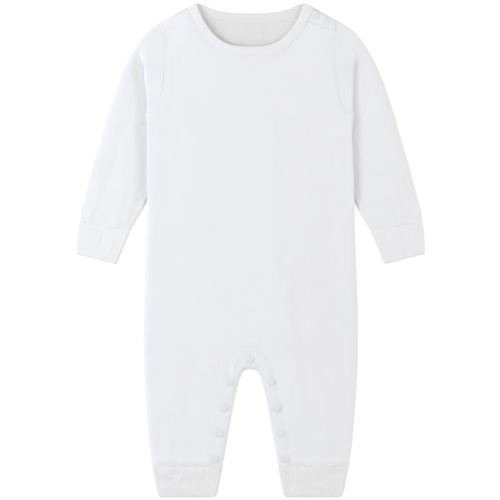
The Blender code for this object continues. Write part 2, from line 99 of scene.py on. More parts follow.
# Beside a seam, ridges and grooves: height, distance, half width. Puckers: height, reach, phase.
# Shown: how much wider than usual the seam's own groove is
ANKLE_BAG, ANKLE_DIP, ANKLE_PUCKERS = (0.6, 6.0, 3.4), (-0.7, 0.0, 2.6), (0.3, 7.0, 1.0)
INSEAM_RIDGE, INSEAM_PUCKERS, INSEAM_SHOWN = (0.15, 6.5, 2.6), (0.15, 8.0, 2.0), -0.4
NECK_RIDGE, NECK_PUCKERS = (0.12, 6.0, 2.4), (0.1, 6.0, 3.0)
HOLE_RIDGE, HOLE_GROOVE, HOLE_SHOWN = (0.16, 4.4, 1.4), (-0.14, 7.2, 1.2), 0.6
RIGHT_HOLE_DIP, HOLE_PUCKERS = (-0.35, TUCK, 2.4), (0.06, 6.0, 4.0)
SLEEVE_DIPS = ((0.1, 0.0, 1.2), (-0.1, 0.0, 1.2))       # right and left
SLEEVE_RIDGE, SLEEVE_GROOVE = (0.14, 3.2, 1.4), (-0.1, 6.4, 1.3)
WRIST_BAG, WRIST_DIP, WRIST_PUCKERS = (0.3, 6.0, 4.0), (-0.05, 0.0, 1.4), (0.3, 8.0, 5.0)
CUFF_SWELL, CUFF_PUCKERS = (0.25, 9.0, 6.0), (0.25, 8.0, 6.0)

# Inseam, from the ankle to the crotch: placket's free edge x, y, seam to the leg x, y
INSEAM = (
    (34, -262.7, 50, -262.7), (30, -240, 46, -238), (24, -206, 40, -203), (18.6, -179, 34.5, -175),
    (13.6, -158, 29, -153), (9.6, -148.5, 22, -133.5), (5.5, -145, 11.5, -120.5),
    (0, -144.5, 0, -117.5),
)
# Side seam of the leg: x, y
SIDE_LEG = (
    (119, -262.7), (122.5, -240), (125.8, -205), (127.8, -178), (129.4, -152), (130.2, -128),
    (130.4, -112), (130.4, -98),
)
# Torso: centre y, side x, side y
TORSO = (
    (-82, 130.2, -72), (-45, 129, -38), (-2, 127.5, 2), (32, 126, 36), (50, 125.5, 52),
    (68, 125, 66), (98, 124.6, 98), (130, 124.7, 128), (156, 125, 154), (168, 125, 160),
)
# Armhole, from the underarm to the shoulder tip: x, y, height of the upper panel
ARMHOLE = (
    (121.5, 163.6, 5.2), (115.7, 169, 5.4), (111.1, 177.5, 5.4), (108.1, 189, 5.4),
    (106.1, 202, 5.4), (105, 216, 5.4), (104.4, 229, 5.4), (104.2, 238, 5.4), (104.2, 246, 5.4),
    (104.3, 255, 5.4), (104.5, 264, 5.2), (104.8, 272, 4.2), (105, 278.2, 2.5),
)
# The body's outer edge beside each sleeve, and the sleeve head's fold above it: y, and how far from
# the middle
LEFT_EDGE = (
    (36, 126), (52, 126.1), (84, 125.4), (109, 124.3), (133, 123.3), (158, 123.4), (163, 123.8),
    (189, 124.2), (202, 124.6), (216, 125.4), (229, 126.8), (238, 128.5),
)
RIGHT_EDGE = (
    (36, 126), (52, 125.5), (98, 124.6), (154, 125.2), (163, 124.4), (177, 124.9), (189, 125.4),
    (202, 127.6), (216, 128.4), (229, 129.6), (238, 131.3),
)
# How far the front is drawn in beside a sleeve: y, distance at its edge; and half width in from it
LEFT_LEAN = ((36, 0), (56, -0.7), (84, -0.8), (109, 0.3), (133, 1.4), (158, 1.7), (163.6, 0))
RIGHT_LEAN = ((100, 0), (136, -0.3), (150, 0.4), (158, 1.2), (163.6, 0))
LEAN_REACH = 30.0
# Neckband, front half from the middle to the shoulder: free edge x, y, seam x, y, height
NECK_FRONT = (
    (0, 246.6, 0, 235.6, 5.2), (13, 247, 14, 236.2, 5.2), (24.7, 249.2, 27.3, 238.3, 5.2),
    (35.6, 254.2, 41.2, 244.5, 5.2), (45, 262, 53, 254.2, 5.2), (52.6, 272, 61.8, 265.3, 5.2),
    (58.7, 282, 69.1, 277.2, 5), (63, 292, 74, 287.6, 4.3), (65, 297.6, 76, 292.8, 3.4),
)
NECK_FOLD = (66.4, 299.4, 77, 294.2, 2.2)      # where the front half turns into the back half
# Back half, from the shoulder to the middle
NECK_BACK = (
    (64.6, 299.2, 75.2, 294.6, 1), (57.7, 297, 63.3, 288.8, 0.8), (48.8, 293.3, 52.3, 283.4, 0.8),
    (37, 289.7, 38.5, 279, 0.8), (20, 287.7, 20.4, 276.8, 0.8), (0, 287, 0, 276, 0.8),
)
# Where the rows above the underarm start, on the middle line and then at the neck seam: x, y
FRONT_STARTS = ((0, 184), (0, 200), (0, 215), (0, 227))
BACK_STARTS = (
    (0, 190), (0, 210), (0, 230), (0, 248), (0, 262), (0, 277), (10, 277.2), (20.4, 277.8),
    (38.3, 280), (52, 284.4), (63, 289.8), (69.6, 292.7), (75.2, 295.2),
)
# Sleeve rows that start at the armhole: outer x, outer y, fold x, valley x, share of the step down
SLEEVE_HEAD = (
    (175, 163, 125.9, 125.4, 1), (173, 168, 126.1, 121.5, 1), (170.5, 177, 126.6, 116.5, 1),
    (166.4, 189, 127.3, 114.5, 1), (162, 202, 128, 115, 1), (156.2, 216, 128.8, 120, 1),
    (150, 229, 130.3, 129.3, 0.9), (145.3, 238, 132, 132, 0.4), (140, 246, 130, 130, 0),
    (134.5, 254.7, 122.5, 122.5, 0), (126, 264, 114.5, 114.5, 0), (117.2, 270.6, 109, 109, 0),
    (111.6, 274.2, 107, 107, 0),
)
# The row at the underarm: inner x, y, height there, and the rest as above
UNDERARM = (125.2, 160.3, 5.2, 176, 160.3, 126.6, 126.6, 1)
# How much further in the row below the underarm starts, and the underarm's own: right, left
UNDERARM_IN = ((2.2, 3.3), (3.3, 4.0))
# Sleeve rows below the underarm: inner x, y, outer x, y, pressed flat this far in, height there,
# width of the pleat's columns
SLEEVE_TUBE = (
    (124.2, 156.6, 176.8, 156.6, 3, 2.4, 6), (121, 150.5, 178.3, 150.5, 5.2, 2.2, 12),
    (112.8, 143, 180.3, 143, 14, 2.2, 20), (110, 126, 185.3, 126, 16, 2.2, 25),
    (110.5, 108, 190.7, 108, 15, 2.2, 28), (114, 92, 195.2, 92, 12, 2.2, 30),
    (119.5, 75, 199.5, 75, 7, 2.2, 30), (126.2, 60, 203.4, 60, 2, 2.3, 30),
    (133, 46.5, 206.6, 49.5, 0, 3.2, 28), (140, 33.8, 208, 40.5, 0, 3.8, 26),
    (145.8, 24.2, 208.5, 34.3, 0, 4, 25),
)
SLEEVE_Z = 4.9          # height of the sleeve's upper layer
PLEAT_Z = (3.9, 2.2)    # height of the pleat's middle layer and of the layer that comes out again
# Columns: shares of the pleat's width, and of the way on from there to the outer edge; then insets
# from that edge on the upper side, and shares of the width and an inset on the under side
PLEAT_COLUMNS = (0.0, 0.1, 0.22, 0.36, 0.5, 0.66, 0.83, 1.0)
OUTER_SHARES = (0.1, 0.2, 0.3, 0.42, 0.76)
OUTER_INSETS = (5.0, 1.6)
UNDER_INSET = 1.8
RETURN_SHARES = (0.75, 0.4)
RETURN_INSET = 2.0
SLIM = 14.0             # narrower rows have their insets drawn together
NARROW_HEAD = 20.0      # narrower rows have a narrower step at the fold
# The step down at the fold: distance from it, share of the way down
STEP = ((-0.9, 0.0), (-0.2, 0.12), (0.3, 0.36), (0.7, 0.64), (1.2, 0.88), (2.0, 1.0))
FULL_TUCK = 3.0         # pleats deeper than this are folded fully
# How the sleeve rises beside the body, right and left: where it starts and how far it takes, at the
# underarm and above it, with where those are along Y; the same below the underarm
RISE = (((5.6, 6.4), (10.5, 9.0)), ((7.0, 6.0), (24.0, 26.0)))
RISE_Y = (163.0, 189.0)
TUBE_RISE = ((4.3, 10.5), (5.0, 26.0))
# How much higher its flat part lies, right and left: up to the underarm, and above it; and where
# along Y that starts and is full
FLOOR = ((-0.4, -0.3), (-0.5, 0.5))
FLOOR_Y = (40.0, 80.0)
INNER_ROLL, OUTER_ROLL = 3.0, 7.0

# Cuffs, from the seam to the hem: inner x, y, outer x, y
WRIST = (
    (146, 23.7, 208.6, 33.8), (151.5, 11, 210.2, 21.5), (157.2, -3, 211, 8.5),
    (161.4, -13, 211.6, -1.5), (163.4, -16.8, 211.2, -4.6),
)
ANKLE = (
    (34.2, -263, 118.9, -263), (36.8, -276, 116.2, -276), (39.2, -288, 113.9, -288),
    (41.2, -295.6, 112, -295.6), (44, -299.65, 109.2, -299.65),
)
WRIST_Z, ANKLE_Z = 4.6, 4.95            # height of the middle of a cuff's upper wall
CUFF_LOW = 0.8                          # and of its lower wall

# Placket: share of the way from the seam to the free edge, front height
PLACKET = ((0.0, 5.3), (0.33, 5.3), (0.68, 5.2), (0.9, 4.6), (1.0, 3.2))
PLACKET_BACK_Z = 1.8
SNAP_Y = (-163.0, -193.5, -224.0, -254.0)
SNAP_INSET = 10.6
CROTCH_SNAP_Y = -132.5
CAP_RADIUS, SHOULDER_CAP_RADIUS = 5.0, 4.2
SHOULDER_SNAPS = (0.25, 0.75)

# ---- creases, mm: from x, y, to x, y, sideways bow of the middle, half width, height ----
FRONT_CREASES = (
    # long, very soft folds down the front, uneven as the cloth lay
    (-27, 205, -22, 30, 3, 9, -0.45),
    (-60, 190, -66, -10, -5, 22, 0.5),
    (27, 215, 31, -80, 3, 8, 0.5),
    (40, 200, 46, -60, -2, 10, -0.4),
    (78, 150, 74, -90, 4, 18, 0.5),
    (-98, 120, -100, -120, 3, 12, -0.45),
    (100, 90, 103, -140, -3, 11, -0.5),
    (24, 190, 42, -225, 4, 42, 2.3),
    (4, -30, -4, -112, -2, 15, -0.9),
    (28, -20, 62, -190, 4, 11, 0.75),
    (60, -60, 74, -215, -3, 11, -0.7),
    (-30, -60, -52, -185, -4, 12, 0.6),
    (-62, -100, -74, -235, 3, 13, -0.55),
    (-92, -140, -94, -248, 2, 9, 0.55),
    (96, -150, 92, -250, -2, 9, 0.6),
    # drag lines from the underarms
    (-122, 158, -70, 128, 4, 5.5, -0.6),
    (-121, 150, -84, 96, 5, 6, 0.45),
    (121, 156, 76, 132, -3, 6, -0.6),
    (120, 148, 88, 104, -4, 6.5, 0.45),
    # beside the crotch
    (-10, -112, -40, -88, 2, 4.5, 0.5),
    (12, -112, 46, -92, -3, 5, 0.45),
    (24, -128, 60, -120, -2, 4.5, -0.5),
    (-26, -132, -58, -128, 2, 4, -0.45),
    # on the legs, above the cuffs
    (56, -238, 57, -258, 1.5, 2.4, 0.6),
    (61, -238, 66, -260, 2, 2.6, -0.9),
    (66, -262.5, 108, -262.5, 0, 3.4, 0.9),
    (-108, -254, -88, -255, 0.5, 2.8, 0.4),
    (100, -238, 104, -262, 1, 3.2, -0.5),
    (-58, -238, -60, -262, 1, 3.4, -0.45),
    (-101, -236, -98, -262, 1, 4, 0.5),
    (-80, -240, -82, -262, -1, 3.2, 0.35),
    # below the shoulders
    (-78, 288, -88, 232, 2, 6, 0.4),
    (84, 282, 92, 226, -2, 5, 0.45),
    (-99, 250, -100, 178, 1.5, 3.2, 0.45),
    (99, 246, 99.5, 182, -1.5, 3.2, 0.5),
)
# along the inseam, over both the legs and the placket
INSEAM_CREASES = (
    (-27.5, -128, -26, -158, 1, 3.4, -0.75),
    (-18, -128, -22, -178, -2, 3.2, 0.5),
    (20, -152, 41, -178, 2, 7, -0.9),
    (42, -184, 30, -206, 2, 5.5, -0.8),
    (-31, -184, -34, -206, 1, 4.5, -0.45),
    (-9, -118, 12, -116, 3, 4, 0.6),
    (30, -212, 34, -240, 1, 3.5, 0.4),
)
BACK_CREASES = (
    (-30, 180, -24, -40, 5, 9, 0.9),
    (34, 150, 44, -90, -6, 10, 0.8),
    (4, 30, -6, -104, 3, 7, 1),
    (72, 120, 66, -60, 4, 8, 0.7),
    (-74, 90, -80, -120, -4, 9, 0.8),
    (-20, 262, 24, 258, 4, 5, 0.6),
    (-96, 20, -60, -14, 4, 6, 0.6),
    (98, -20, 58, -56, -4, 6, 0.7),
    (64, -110, 72, -240, 3, 7, 0.9),
    (90, -150, 86, -250, 2, 5, 0.6),
    (-62, -120, -76, -236, -3, 8, 0.8),
    (-100, -130, -96, -225, 2, 5, 0.6),
    (16, -104, 44, -84, 2, 4, 0.6),
    (-14, -106, -48, -90, 2, 4.5, 0.6),
)
LEFT_SLEEVE_CREASES = (
    (158, 230, 198, 50, -4, 17, 1.5),
    (150, 216, 172, 110, 3, 7, 0.5),
    (164, 176, 186, 84, -3, 6, -0.45),
    (140, 96, 178, 112, -4, 5, 0.55),
    (136, 82, 186, 88, 5, 5, -0.5),
    (142, 66, 192, 76, -3, 5, 0.4),
    (160, 74, 172, 36, 2, 5, 0.45),
    (186, 66, 190, 34, -1, 4, -0.4),
    (166, 44, 168, 26, 0.5, 2.4, -0.45),
    (180, 46, 183, 28, 0.5, 2.6, 0.5),
    (196, 50, 198, 32, 0, 2.4, -0.4),
    (152, 40, 154, 24, 0, 2.4, 0.4),
)
RIGHT_SLEEVE_CREASES = (
    (-150, 130, -158, 60, 0, 9, 0.2),
    (-146, 222, -168, 120, -3, 7.5, 0.5),
    (-160, 150, -178, 60, 4, 7, -0.5),
    (-142, 108, -176, 128, 4, 5.5, 0.45),
    (-138, 90, -184, 98, -5, 5, -0.5),
    (-150, 60, -196, 62, 3, 5.5, 0.45),
    (-182, 90, -196, 40, 2, 5, 0.4),
    (-172, 46, -176, 20, 1, 4.5, -0.4),
    (-162, 44, -164, 22, -0.5, 4.5, 0.3),
    (-154, 42, -156, 24, -0.5, 3.2, -0.4),
    (-192, 50, -196, 30, 0, 3, 0.5),
    (-202, 52, -203, 34, 0, 2.2, -0.4),
)


# ---- curves and surfaces ----
def roll(distance, reach):
    """Quarter ellipse: 0 at an edge, 1 from `reach` inwards."""
    q = np.clip(np.asarray(distance, float) / reach, 0.0, 1.0)
    return np.sqrt(1.0 - (1.0 - q) ** 2)


def ease(t):
    """Smooth step from 0 to 1."""
    t = np.clip(t, 0.0, 1.0)
    return t * t * (3.0 - 2.0 * t)


def ramp(x, start, full):
    """Smooth step from 0 at start to 1 at full, whichever of them is larger."""
    return ease((x - start) / (full - start))


def window(x, start, full, still, end):
    """Smooth step up between start and full, times one down between still and end."""
    return ramp(x, start, full) * ramp(x, end, still)


def bell(distance, width):
    """Soft ridge, 1 on its line and falling off as a Gaussian with that half width."""
    return np.exp(-(distance / width) ** 2)


def ridge(distance, height, at, width):
    """A bell of some height beside a line; a height below 0 makes a groove."""
    return height * bell(distance - at, width)


def through(points, at, corners=()):
    """Smooth curve through the rows of points, at fractional row numbers.

    A Hermite curve whose knots are the square roots of the distances between rows, and whose slope
    at a row is the weighted mean of the slopes on either side. At a corner each side keeps its own.
    """
    p = np.asarray(points, float)
    step = np.diff(p, axis=0)
    h = np.sqrt(np.maximum(np.linalg.norm(step[..., :3], axis=-1, keepdims=True), 1e-6))
    slope = step / h
    mean = (slope[:-1] * h[1:] + slope[1:] * h[:-1]) / (h[:-1] + h[1:])
    leave = np.concatenate([slope[:1], mean])
    arrive = np.concatenate([mean, slope[-1:]])
    for row in corners:
        leave[row] = slope[row]
        arrive[row - 1] = slope[row - 1]
    i = np.clip(np.floor(at).astype(int), 0, len(p) - 2)
    u = (np.asarray(at) - i).reshape((-1,) + (1,) * (p.ndim - 1))
    rise = u * u * (3.0 - 2.0 * u)
    return (p[i] * (1.0 - rise) + p[i + 1] * rise
            + h[i] * (u * (1.0 - u) ** 2 * leave[i] - u * u * (1.0 - u) * arrive[i]))


def cuts(counts):
    """Fractional row numbers that cut each gap between rows into so many equal steps."""
    parts = [i + np.arange(n) / n for i, n in enumerate(counts)]
    return np.concatenate(parts + [[float(len(counts))]])


def stations(lengths, pitch):
    """The cuts that make steps of about the pitch in gaps of those lengths."""
    return cuts(np.maximum(1, np.rint(np.asarray(lengths) / pitch)).astype(int))


def gaps(points):
    """Distances between neighbouring rows of points, the largest over each row."""
    d = np.linalg.norm(np.diff(np.asarray(points, float), axis=0), axis=-1)
    return d.reshape(len(d), -1).max(axis=1)


def travelled(points, axis):
    """Distance travelled along an axis of a table of points, from its first point."""
    d = np.linalg.norm(np.diff(points, axis=axis), axis=-1)
    pad = [(0, 0)] * d.ndim
    pad[axis] = (1, 0)
    return np.cumsum(np.pad(d, pad), axis=axis)


def creases(x, y, table):
    """Soft troughs and ridges: a bell across a bowed line, which fades out to its two ends."""
    z = np.zeros_like(x)
    for x0, y0, x1, y1, bow, width, height in table:
        length = np.hypot(x1 - x0, y1 - y0)
        cx, cy = (x1 - x0) / length, (y1 - y0) / length
        t = np.clip(((x - x0) * cx + (y - y0) * cy) / length, -0.2, 1.2)
        middle = 4.0 * t * (1.0 - t)
        aside = (y - y0) * cx - (x - x0) * cy - bow * middle
        z += height * ease(middle * 1.2) * bell(aside, width)
    return z


def away_from(xy, line):
    """Distance of points from a line of points: the least of the distances to its stretches."""
    best = np.full(xy.shape[:-1], np.inf)
    for a, b in zip(line[:-1], line[1:]):
        t = np.clip(((xy - a) @ (b - a)) / ((b - a) @ (b - a)), 0.0, 1.0)
        best = np.minimum(best, np.linalg.norm(xy - a - t[..., None] * (b - a), axis=-1))
    return best


def tucked(edges, seams, by):
    """Seam points moved towards the free edge by a seam allowance."""
    edges, seams = np.array(edges), np.array(seams)
    across = edges - seams
    return seams + across / np.linalg.norm(across, axis=1, keepdims=True) * by


def fine_line(points):
    """The smooth line through some points, in short stretches."""
    return through(points, np.linspace(0.0, len(points) - 1.0, 6 * len(points)))


def allowance(to_edge, shown=0.0, depth=ALLOWANCE_DEPTH):
    """How far a tucked edge lies below its panel: the depth less a smooth step up from the edge.

    shown widens it to a groove that can be seen, up to 1, and below 0 hides it.
    """
    return depth * (1.0 - ease(to_edge / ((0.9 + 0.5 * shown) * TUCK)))


def neck_rise(x, y):
    """How far the front neckline stands up: from high to low across, none at the shoulders."""
    high, low = NECK_RISE
    return ramp(y, *NECK_RISE_Y) * (low + (high - low) * ramp(x, *NECK_TWIST))


def edge_at(x, y):
    """Distance of the body's edge, or of the sleeve head's fold, from the middle."""
    return np.where(x > 0, *(np.interp(y, *np.transpose(edge)) for edge in (LEFT_EDGE, RIGHT_EDGE)))


def edge_rise(x, y):
    """The body's edge beside a sleeve: a bell in from the edge, on the left from its crest."""
    d = edge_at(x, y) - np.abs(x)
    height, width = (np.where(x > 0, *pair) for pair in zip(*EDGE_RISE))
    standing = ramp(d, *EDGE_CREST) * bell(np.maximum(d - EDGE_CREST[1], 0.0), width)
    sunk = bell(np.maximum(d, 0.0), width)
    return height * window(y, *EDGE_RISE_Y) * np.where(x > 0, standing, sunk)


def collar_lift(x, y):
    """The back's inside rises towards the collar on the wearer's right, as a bell on its line."""
    height, width = COLLAR_LIFT
    off = away_from(np.stack([np.abs(x), y], axis=-1), COLLAR_LINE)
    return height * ramp(x, *COLLAR_LIFT_X) * bell(off, width) * ramp(y, *COLLAR_LIFT_Y)


def ripple(s, phase):
    """Uneven wave along a seam, between about -1 and 1: three sines whose lengths never agree."""
    return (0.5 * np.sin(s / 2.3 + phase) + 0.35 * np.sin(s / 1.37 + 2.1 * phase)
            + 0.3 * np.sin(s / 4.1 + 0.7 * phase))


def puckers(distance, along, side, height, reach, phase):
    """Small pulls at a seam: a ripple along it that dies out exponentially away from it."""
    return height * np.exp(-distance / reach) * ripple(along, phase + side)


# ---- mesh making ----
def numbered(points):
    """The point numbers of a table of points, in the same rows and columns."""
    shape = points.shape[:-1]
    return np.arange(int(np.prod(shape))).reshape(shape)


def quads(index):
    """The faces between neighbouring rows and columns of a table of point numbers."""
    corners = index[:-1, :-1], index[:-1, 1:], index[1:, 1:], index[1:, :-1]
    return np.stack(corners, axis=-1).reshape(-1, 4)


def tube_quads(index):
    """The faces of many tubes: tube, ring and place round the ring, closed round each ring."""
    closed = np.concatenate([index, index[:, :, :1]], axis=2)
    return np.vstack([quads(one) for one in closed])


def placed(name, data):
    """An object with that data, at the origin of the scene."""
    obj = bpy.data.objects.new(name, data)
    bpy.context.scene.collection.objects.link(obj)
    return obj


def piece(name, points, faces, look, uv=None, same=None, wall=None, ends=()):
    """An object from points in mm, quads, and the point numbers round each flat end.

    same merges point numbers, and uv stays per point, in mm.
    """
    points = np.asarray(points, float).reshape(-1, 3)
    welded = faces if same is None else same[faces]
    used, local = np.unique(welded, return_inverse=True)
    mesh = bpy.data.meshes.new(name)
    rims = [np.searchsorted(used, end).tolist() for end in ends]
    mesh.from_pydata((points[used] * MM).tolist(), [], local.reshape(welded.shape).tolist() + rims)
    if uv is not None:
        layer = mesh.uv_layers.new(name="cloth")
        layer.data.foreach_set("uv", (uv.reshape(-1, 2)[faces.ravel()] * MM).astype("f").ravel())
    mesh.shade_smooth()
    mesh.materials.append(look)
    obj = placed(name, mesh)
    if wall is not None:
        shell = obj.modifiers.new("wall", "SOLIDIFY")
        shell.thickness = wall * MM
        shell.offset = 0.0
    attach(obj, "root")
    return obj


def turned(name, places, ups, profile, around, look):
    """Lathe-turned parts in one object: a profile of radius and height, spun at every place."""
    angle = np.arange(around) * 2.0 * np.pi / around
    r, h = np.array(profile).T
    local = np.stack([r[:, None] * np.cos(angle), r[:, None] * np.sin(angle),
                      np.repeat(h[:, None], around, axis=1)], axis=-1)
    ups = np.asarray(ups, float)
    side = np.cross((0.0, 1.0, 0.0), ups)
    side /= np.linalg.norm(side, axis=1, keepdims=True)
    frames = np.stack([side, np.cross(ups, side), ups], axis=1)
    points = np.einsum("rak,nkj->nraj", local, frames) + np.asarray(places)[:, None, None]
    index = numbered(points)
    ends = [*index[:, 0, ::-1], *index[:, -1]]
    return piece(name, points, tube_quads(index), look, ends=ends)


# ---- materials ----
class Value:
    """A socket's output with arithmetic: each operator adds a Math node."""

    def __init__(self, nodes, socket):
        self.nodes = nodes
        self.socket = socket

    def math(self, operation, *others, swap=False):
        """The operation on this value and the others, in that order unless swapped."""
        inputs = [self, *others]
        if swap:
            inputs.reverse()
        return self.nodes.add("ShaderNodeMath", {"operation": operation}, dict(enumerate(inputs)))

    def __add__(self, other):
        return self.math("ADD", other)

    def __mul__(self, other):
        return self.math("MULTIPLY", other)

    def __sub__(self, other):
        return self.math("SUBTRACT", other)

    def __rsub__(self, other):
        return self.math("SUBTRACT", other, swap=True)

    def __truediv__(self, other):
        return self.math("DIVIDE", other)

    __radd__ = __add__
    __rmul__ = __mul__


class Nodes:
    """The node tree of a new material or of the world."""

    def __init__(self, owner):
        owner.use_nodes = True
        self.owner = owner
        self.tree = owner.node_tree
        self.tree.nodes.clear()

    def add(self, kind, settings=None, inputs=None, output=0):
        """A node of that type: settings first, then values or links of its inputs."""
        node = self.tree.nodes.new(kind)
        for key, value in (settings or {}).items():
            setattr(node, key, value)
        for key, value in (inputs or {}).items():
            if isinstance(value, Value):
                self.tree.links.new(value.socket, node.inputs[key])
            else:
                node.inputs[key].default_value = value
        return Value(self, node.outputs[output]) if node.outputs else None

    def noise(self, vector, scale, detail=2.0, roughness=0.5):
        """Noise from 0 to 1, with so many features to the metre."""
        inputs = {"Vector": vector, "Scale": scale, "Detail": detail, "Roughness": roughness}
        return self.add("ShaderNodeTexNoise", {"noise_dimensions": "3D"}, inputs)

    def tint(self, share, colour_a, colour_b):
        """Colour between two, by share."""
        return self.add("ShaderNodeMix", {"data_type": "RGBA"},
                        {"Factor": share, 6: (*colour_a, 1.0), 7: (*colour_b, 1.0)}, output=2)

    def bump(self, strength, depth, height):
        """Normal from a height of 0 to 1, depth metres deep."""
        inputs = {"Strength": strength, "Distance": depth, "Height": height}
        return self.add("ShaderNodeBump", {}, inputs)

    def coated(self, **sockets):
        """The material, with a Principled surface whose sockets are named with underscores."""
        inputs = {key.replace("_", " "): value for key, value in sockets.items()}
        shader = self.add("ShaderNodeBsdfPrincipled", {}, inputs)
        self.add("ShaderNodeOutputMaterial", {}, {"Surface": shader})
        return self.owner


def new_look(name):
    """The nodes of a new material, and Object coordinates in them."""
    nodes = Nodes(bpy.data.materials.new(name))
    return nodes, nodes.add("ShaderNodeTexCoord", output="Object")


def knit(name, light, dark, wale, course, depth):
    """White weft knit on the piece's own cloth UV.

    Columns of V-shaped stitches, wale apart, whose two legs lean into each other once a course. Fine
    fuzz lies over them, and broad soft blotches shift the colour a little.
    """
    n, place = new_look(name)
    uv = n.add("ShaderNodeUVMap", {"uv_map": "cloth"})
    u = n.add("ShaderNodeSeparateXYZ", {}, {"Vector": uv})
    v = Value(n, u.socket.node.outputs[1])
    across = (u / (wale * MM)).math("PINGPONG", 0.5) * 2.0
    lean = (v / (course * MM) + across * 0.55).math("FRACT")
    loop = (lean * (2.0 * np.pi)).math("SINE") * 0.5 + 0.5
    column = (across * np.pi).math("SINE")
    fuzz = n.noise(place, 1400.0, 3.0, 0.7)
    slub = n.noise(place, 260.0, 2.0, 0.6)
    height = column * (loop * 0.45 + 0.55) + fuzz * 0.55 + slub * 0.3
    bump = n.bump(0.55, depth * MM, height)
    blotch = n.noise(place, 22.0, 3.0, 0.55)
    grain = n.noise(place, 900.0, 2.0, 0.6)
    streaks = n.add("ShaderNodeMapping", {}, {"Vector": uv, "Scale": (420.0, 9.0, 1.0)})
    streak = n.noise(streaks, 1.0)
    share = ((blotch - 0.5) * 0.5 + (grain - 0.5) * 0.7 + (column - 0.6) * 0.25
             + (streak - 0.5) * 0.45 + 0.45)
    share = share.math("MINIMUM", 1.0).math("MAXIMUM", 0.0)
    rough = 0.82 + (grain - 0.5) * 0.2
    return n.coated(Base_Color=n.tint(share, light, dark), Roughness=rough, Normal=bump,
                    Specular_IOR_Level=0.25, Sheen_Weight=0.12, Sheen_Roughness=0.6)


def moulded(name, light, dark, roughness):
    """Moulded resin: faint flow marks in colour and roughness, and a fine satin grain."""
    n, place = new_look(name)
    flow = n.noise(place, 340.0, 4.0, 0.6)
    grain = n.noise(place, 3200.0, 2.0, 0.5)
    bump = n.bump(0.25, 0.06 * MM, flow * 0.5 + grain)
    return n.coated(Base_Color=n.tint(flow, light, dark), Roughness=roughness + (flow - 0.5) * 0.2,
                    Normal=bump, Specular_IOR_Level=0.45)


def thread(name, light, dark):
    """Spun sewing thread: fine twist over a slightly mottled white."""
    n, place = new_look(name)
    twist = n.add("ShaderNodeTexWave", {"bands_direction": "DIAGONAL"},
                  {"Vector": place, "Scale": 900.0, "Distortion": 2.0}, output=1)
    mottle = n.noise(place, 700.0)
    bump = n.bump(0.4, 0.08 * MM, twist)
    return n.coated(Base_Color=n.tint(mottle, light, dark), Roughness=0.6 + mottle * 0.15,
                    Normal=bump, Sheen_Weight=0.1)


WHITE, SHADE = (0.868, 0.872, 0.884), (0.803, 0.81, 0.826)
# Wrong side: a warmer white than the right side, made darker still as painted shade, so the back's
# inside seen through the neck opening stands in for the shade there
WRONG_SIDE_WHITE_PAINTED_SHADE, WRONG_SIDE_DARK_PAINTED_SHADE = (0.824, 0.82, 0.806), (0.755, 0.75, 0.732)
# Ankle cuffs: the same rib as the wrists, made darker and more neutral as painted shade for the shade
# among their folds
ANKLE_WHITE_PAINTED_SHADE, ANKLE_DARK_PAINTED_SHADE = (0.846, 0.847, 0.845), (0.778, 0.78, 0.781)
RIB_WHITE, RIB_SHADE = (0.876, 0.879, 0.884), (0.808, 0.813, 0.821)
# Back half of the neckband, inside the opening: the rib made darker and greyer as painted shade for
# the shade under the front collar
COLLAR_WHITE_PAINTED_SHADE, COLLAR_DARK_PAINTED_SHADE = (0.826, 0.828, 0.822), (0.76, 0.762, 0.76)
jersey = knit("white jersey", WHITE, SHADE, 1.05, 0.85, 0.16)
inside = knit("white jersey, wrong side, painted shade", WRONG_SIDE_WHITE_PAINTED_SHADE, WRONG_SIDE_DARK_PAINTED_SHADE, 1.05, 0.5, 0.2)
ankle_rib_painted_shade = knit("white rib, ankles, painted shade", ANKLE_WHITE_PAINTED_SHADE, ANKLE_DARK_PAINTED_SHADE, 1.2, 0.9, 0.18)
ribbing = knit("white rib", RIB_WHITE, RIB_SHADE, 1.2, 0.9, 0.18)
collar = knit("white rib, inside the collar, painted shade", COLLAR_WHITE_PAINTED_SHADE, COLLAR_DARK_PAINTED_SHADE, 1.2, 0.9, 0.18)
facing = knit("white snap tape", (0.86, 0.867, 0.885), (0.80, 0.808, 0.83), 0.95, 0.8, 0.13)
# The caps are greyer than the cloth: partly their own tone, partly painted shade that makes each snap
# show as a soft dark spot
resin = moulded("white resin cap", (0.79, 0.795, 0.81), (0.74, 0.745, 0.76), 0.42)
stud = moulded("white resin stud", (0.78, 0.785, 0.80), (0.72, 0.725, 0.74), 0.45)
sewing = thread("white thread", (0.86, 0.865, 0.88), (0.78, 0.785, 0.80))


# ---- body panels ----
EDGE_COLUMNS = (0.0, 0.5, 1.0, 1.5, 2.1, 3.0, 4.2, 5.8, 7.7, 10.0, 12.6, 15.6, 19.2, 23.5)
SEAM_COLUMNS = (0.0, 0.5, 1.0, 1.5, 2.1, 3.2, 4.7, 6.5, 8.8, 11.6)
MIDDLE_COLUMNS = 34
ROW_PITCH, ANKLE_PITCH, SHOULDER_PITCH = 2.5, 1.6, 1.2
SHOULDER_GAPS = 3                       # gaps between the table's rows that are cut finer there
ANKLE_ROWS = (0.009, 0.03)              # extra rows beside the ankle seam
CROTCH_ROWS = (0.013, 0.026, 0.042)     # above the crotch seam
NECK_ROWS = (0.15, 0.09, 0.045)         # and below the neck seam
CROTCH_AT = len(INSEAM) - 1             # row of the crotch
SEWN = len(INSEAM) + len(TORSO)         # first row that ends at the armhole
NECK_AT = SEWN + len(FRONT_STARTS)      # first front row that starts at the neck seam
BACK_NECK_AT = SEWN + 5                 # the same on the back

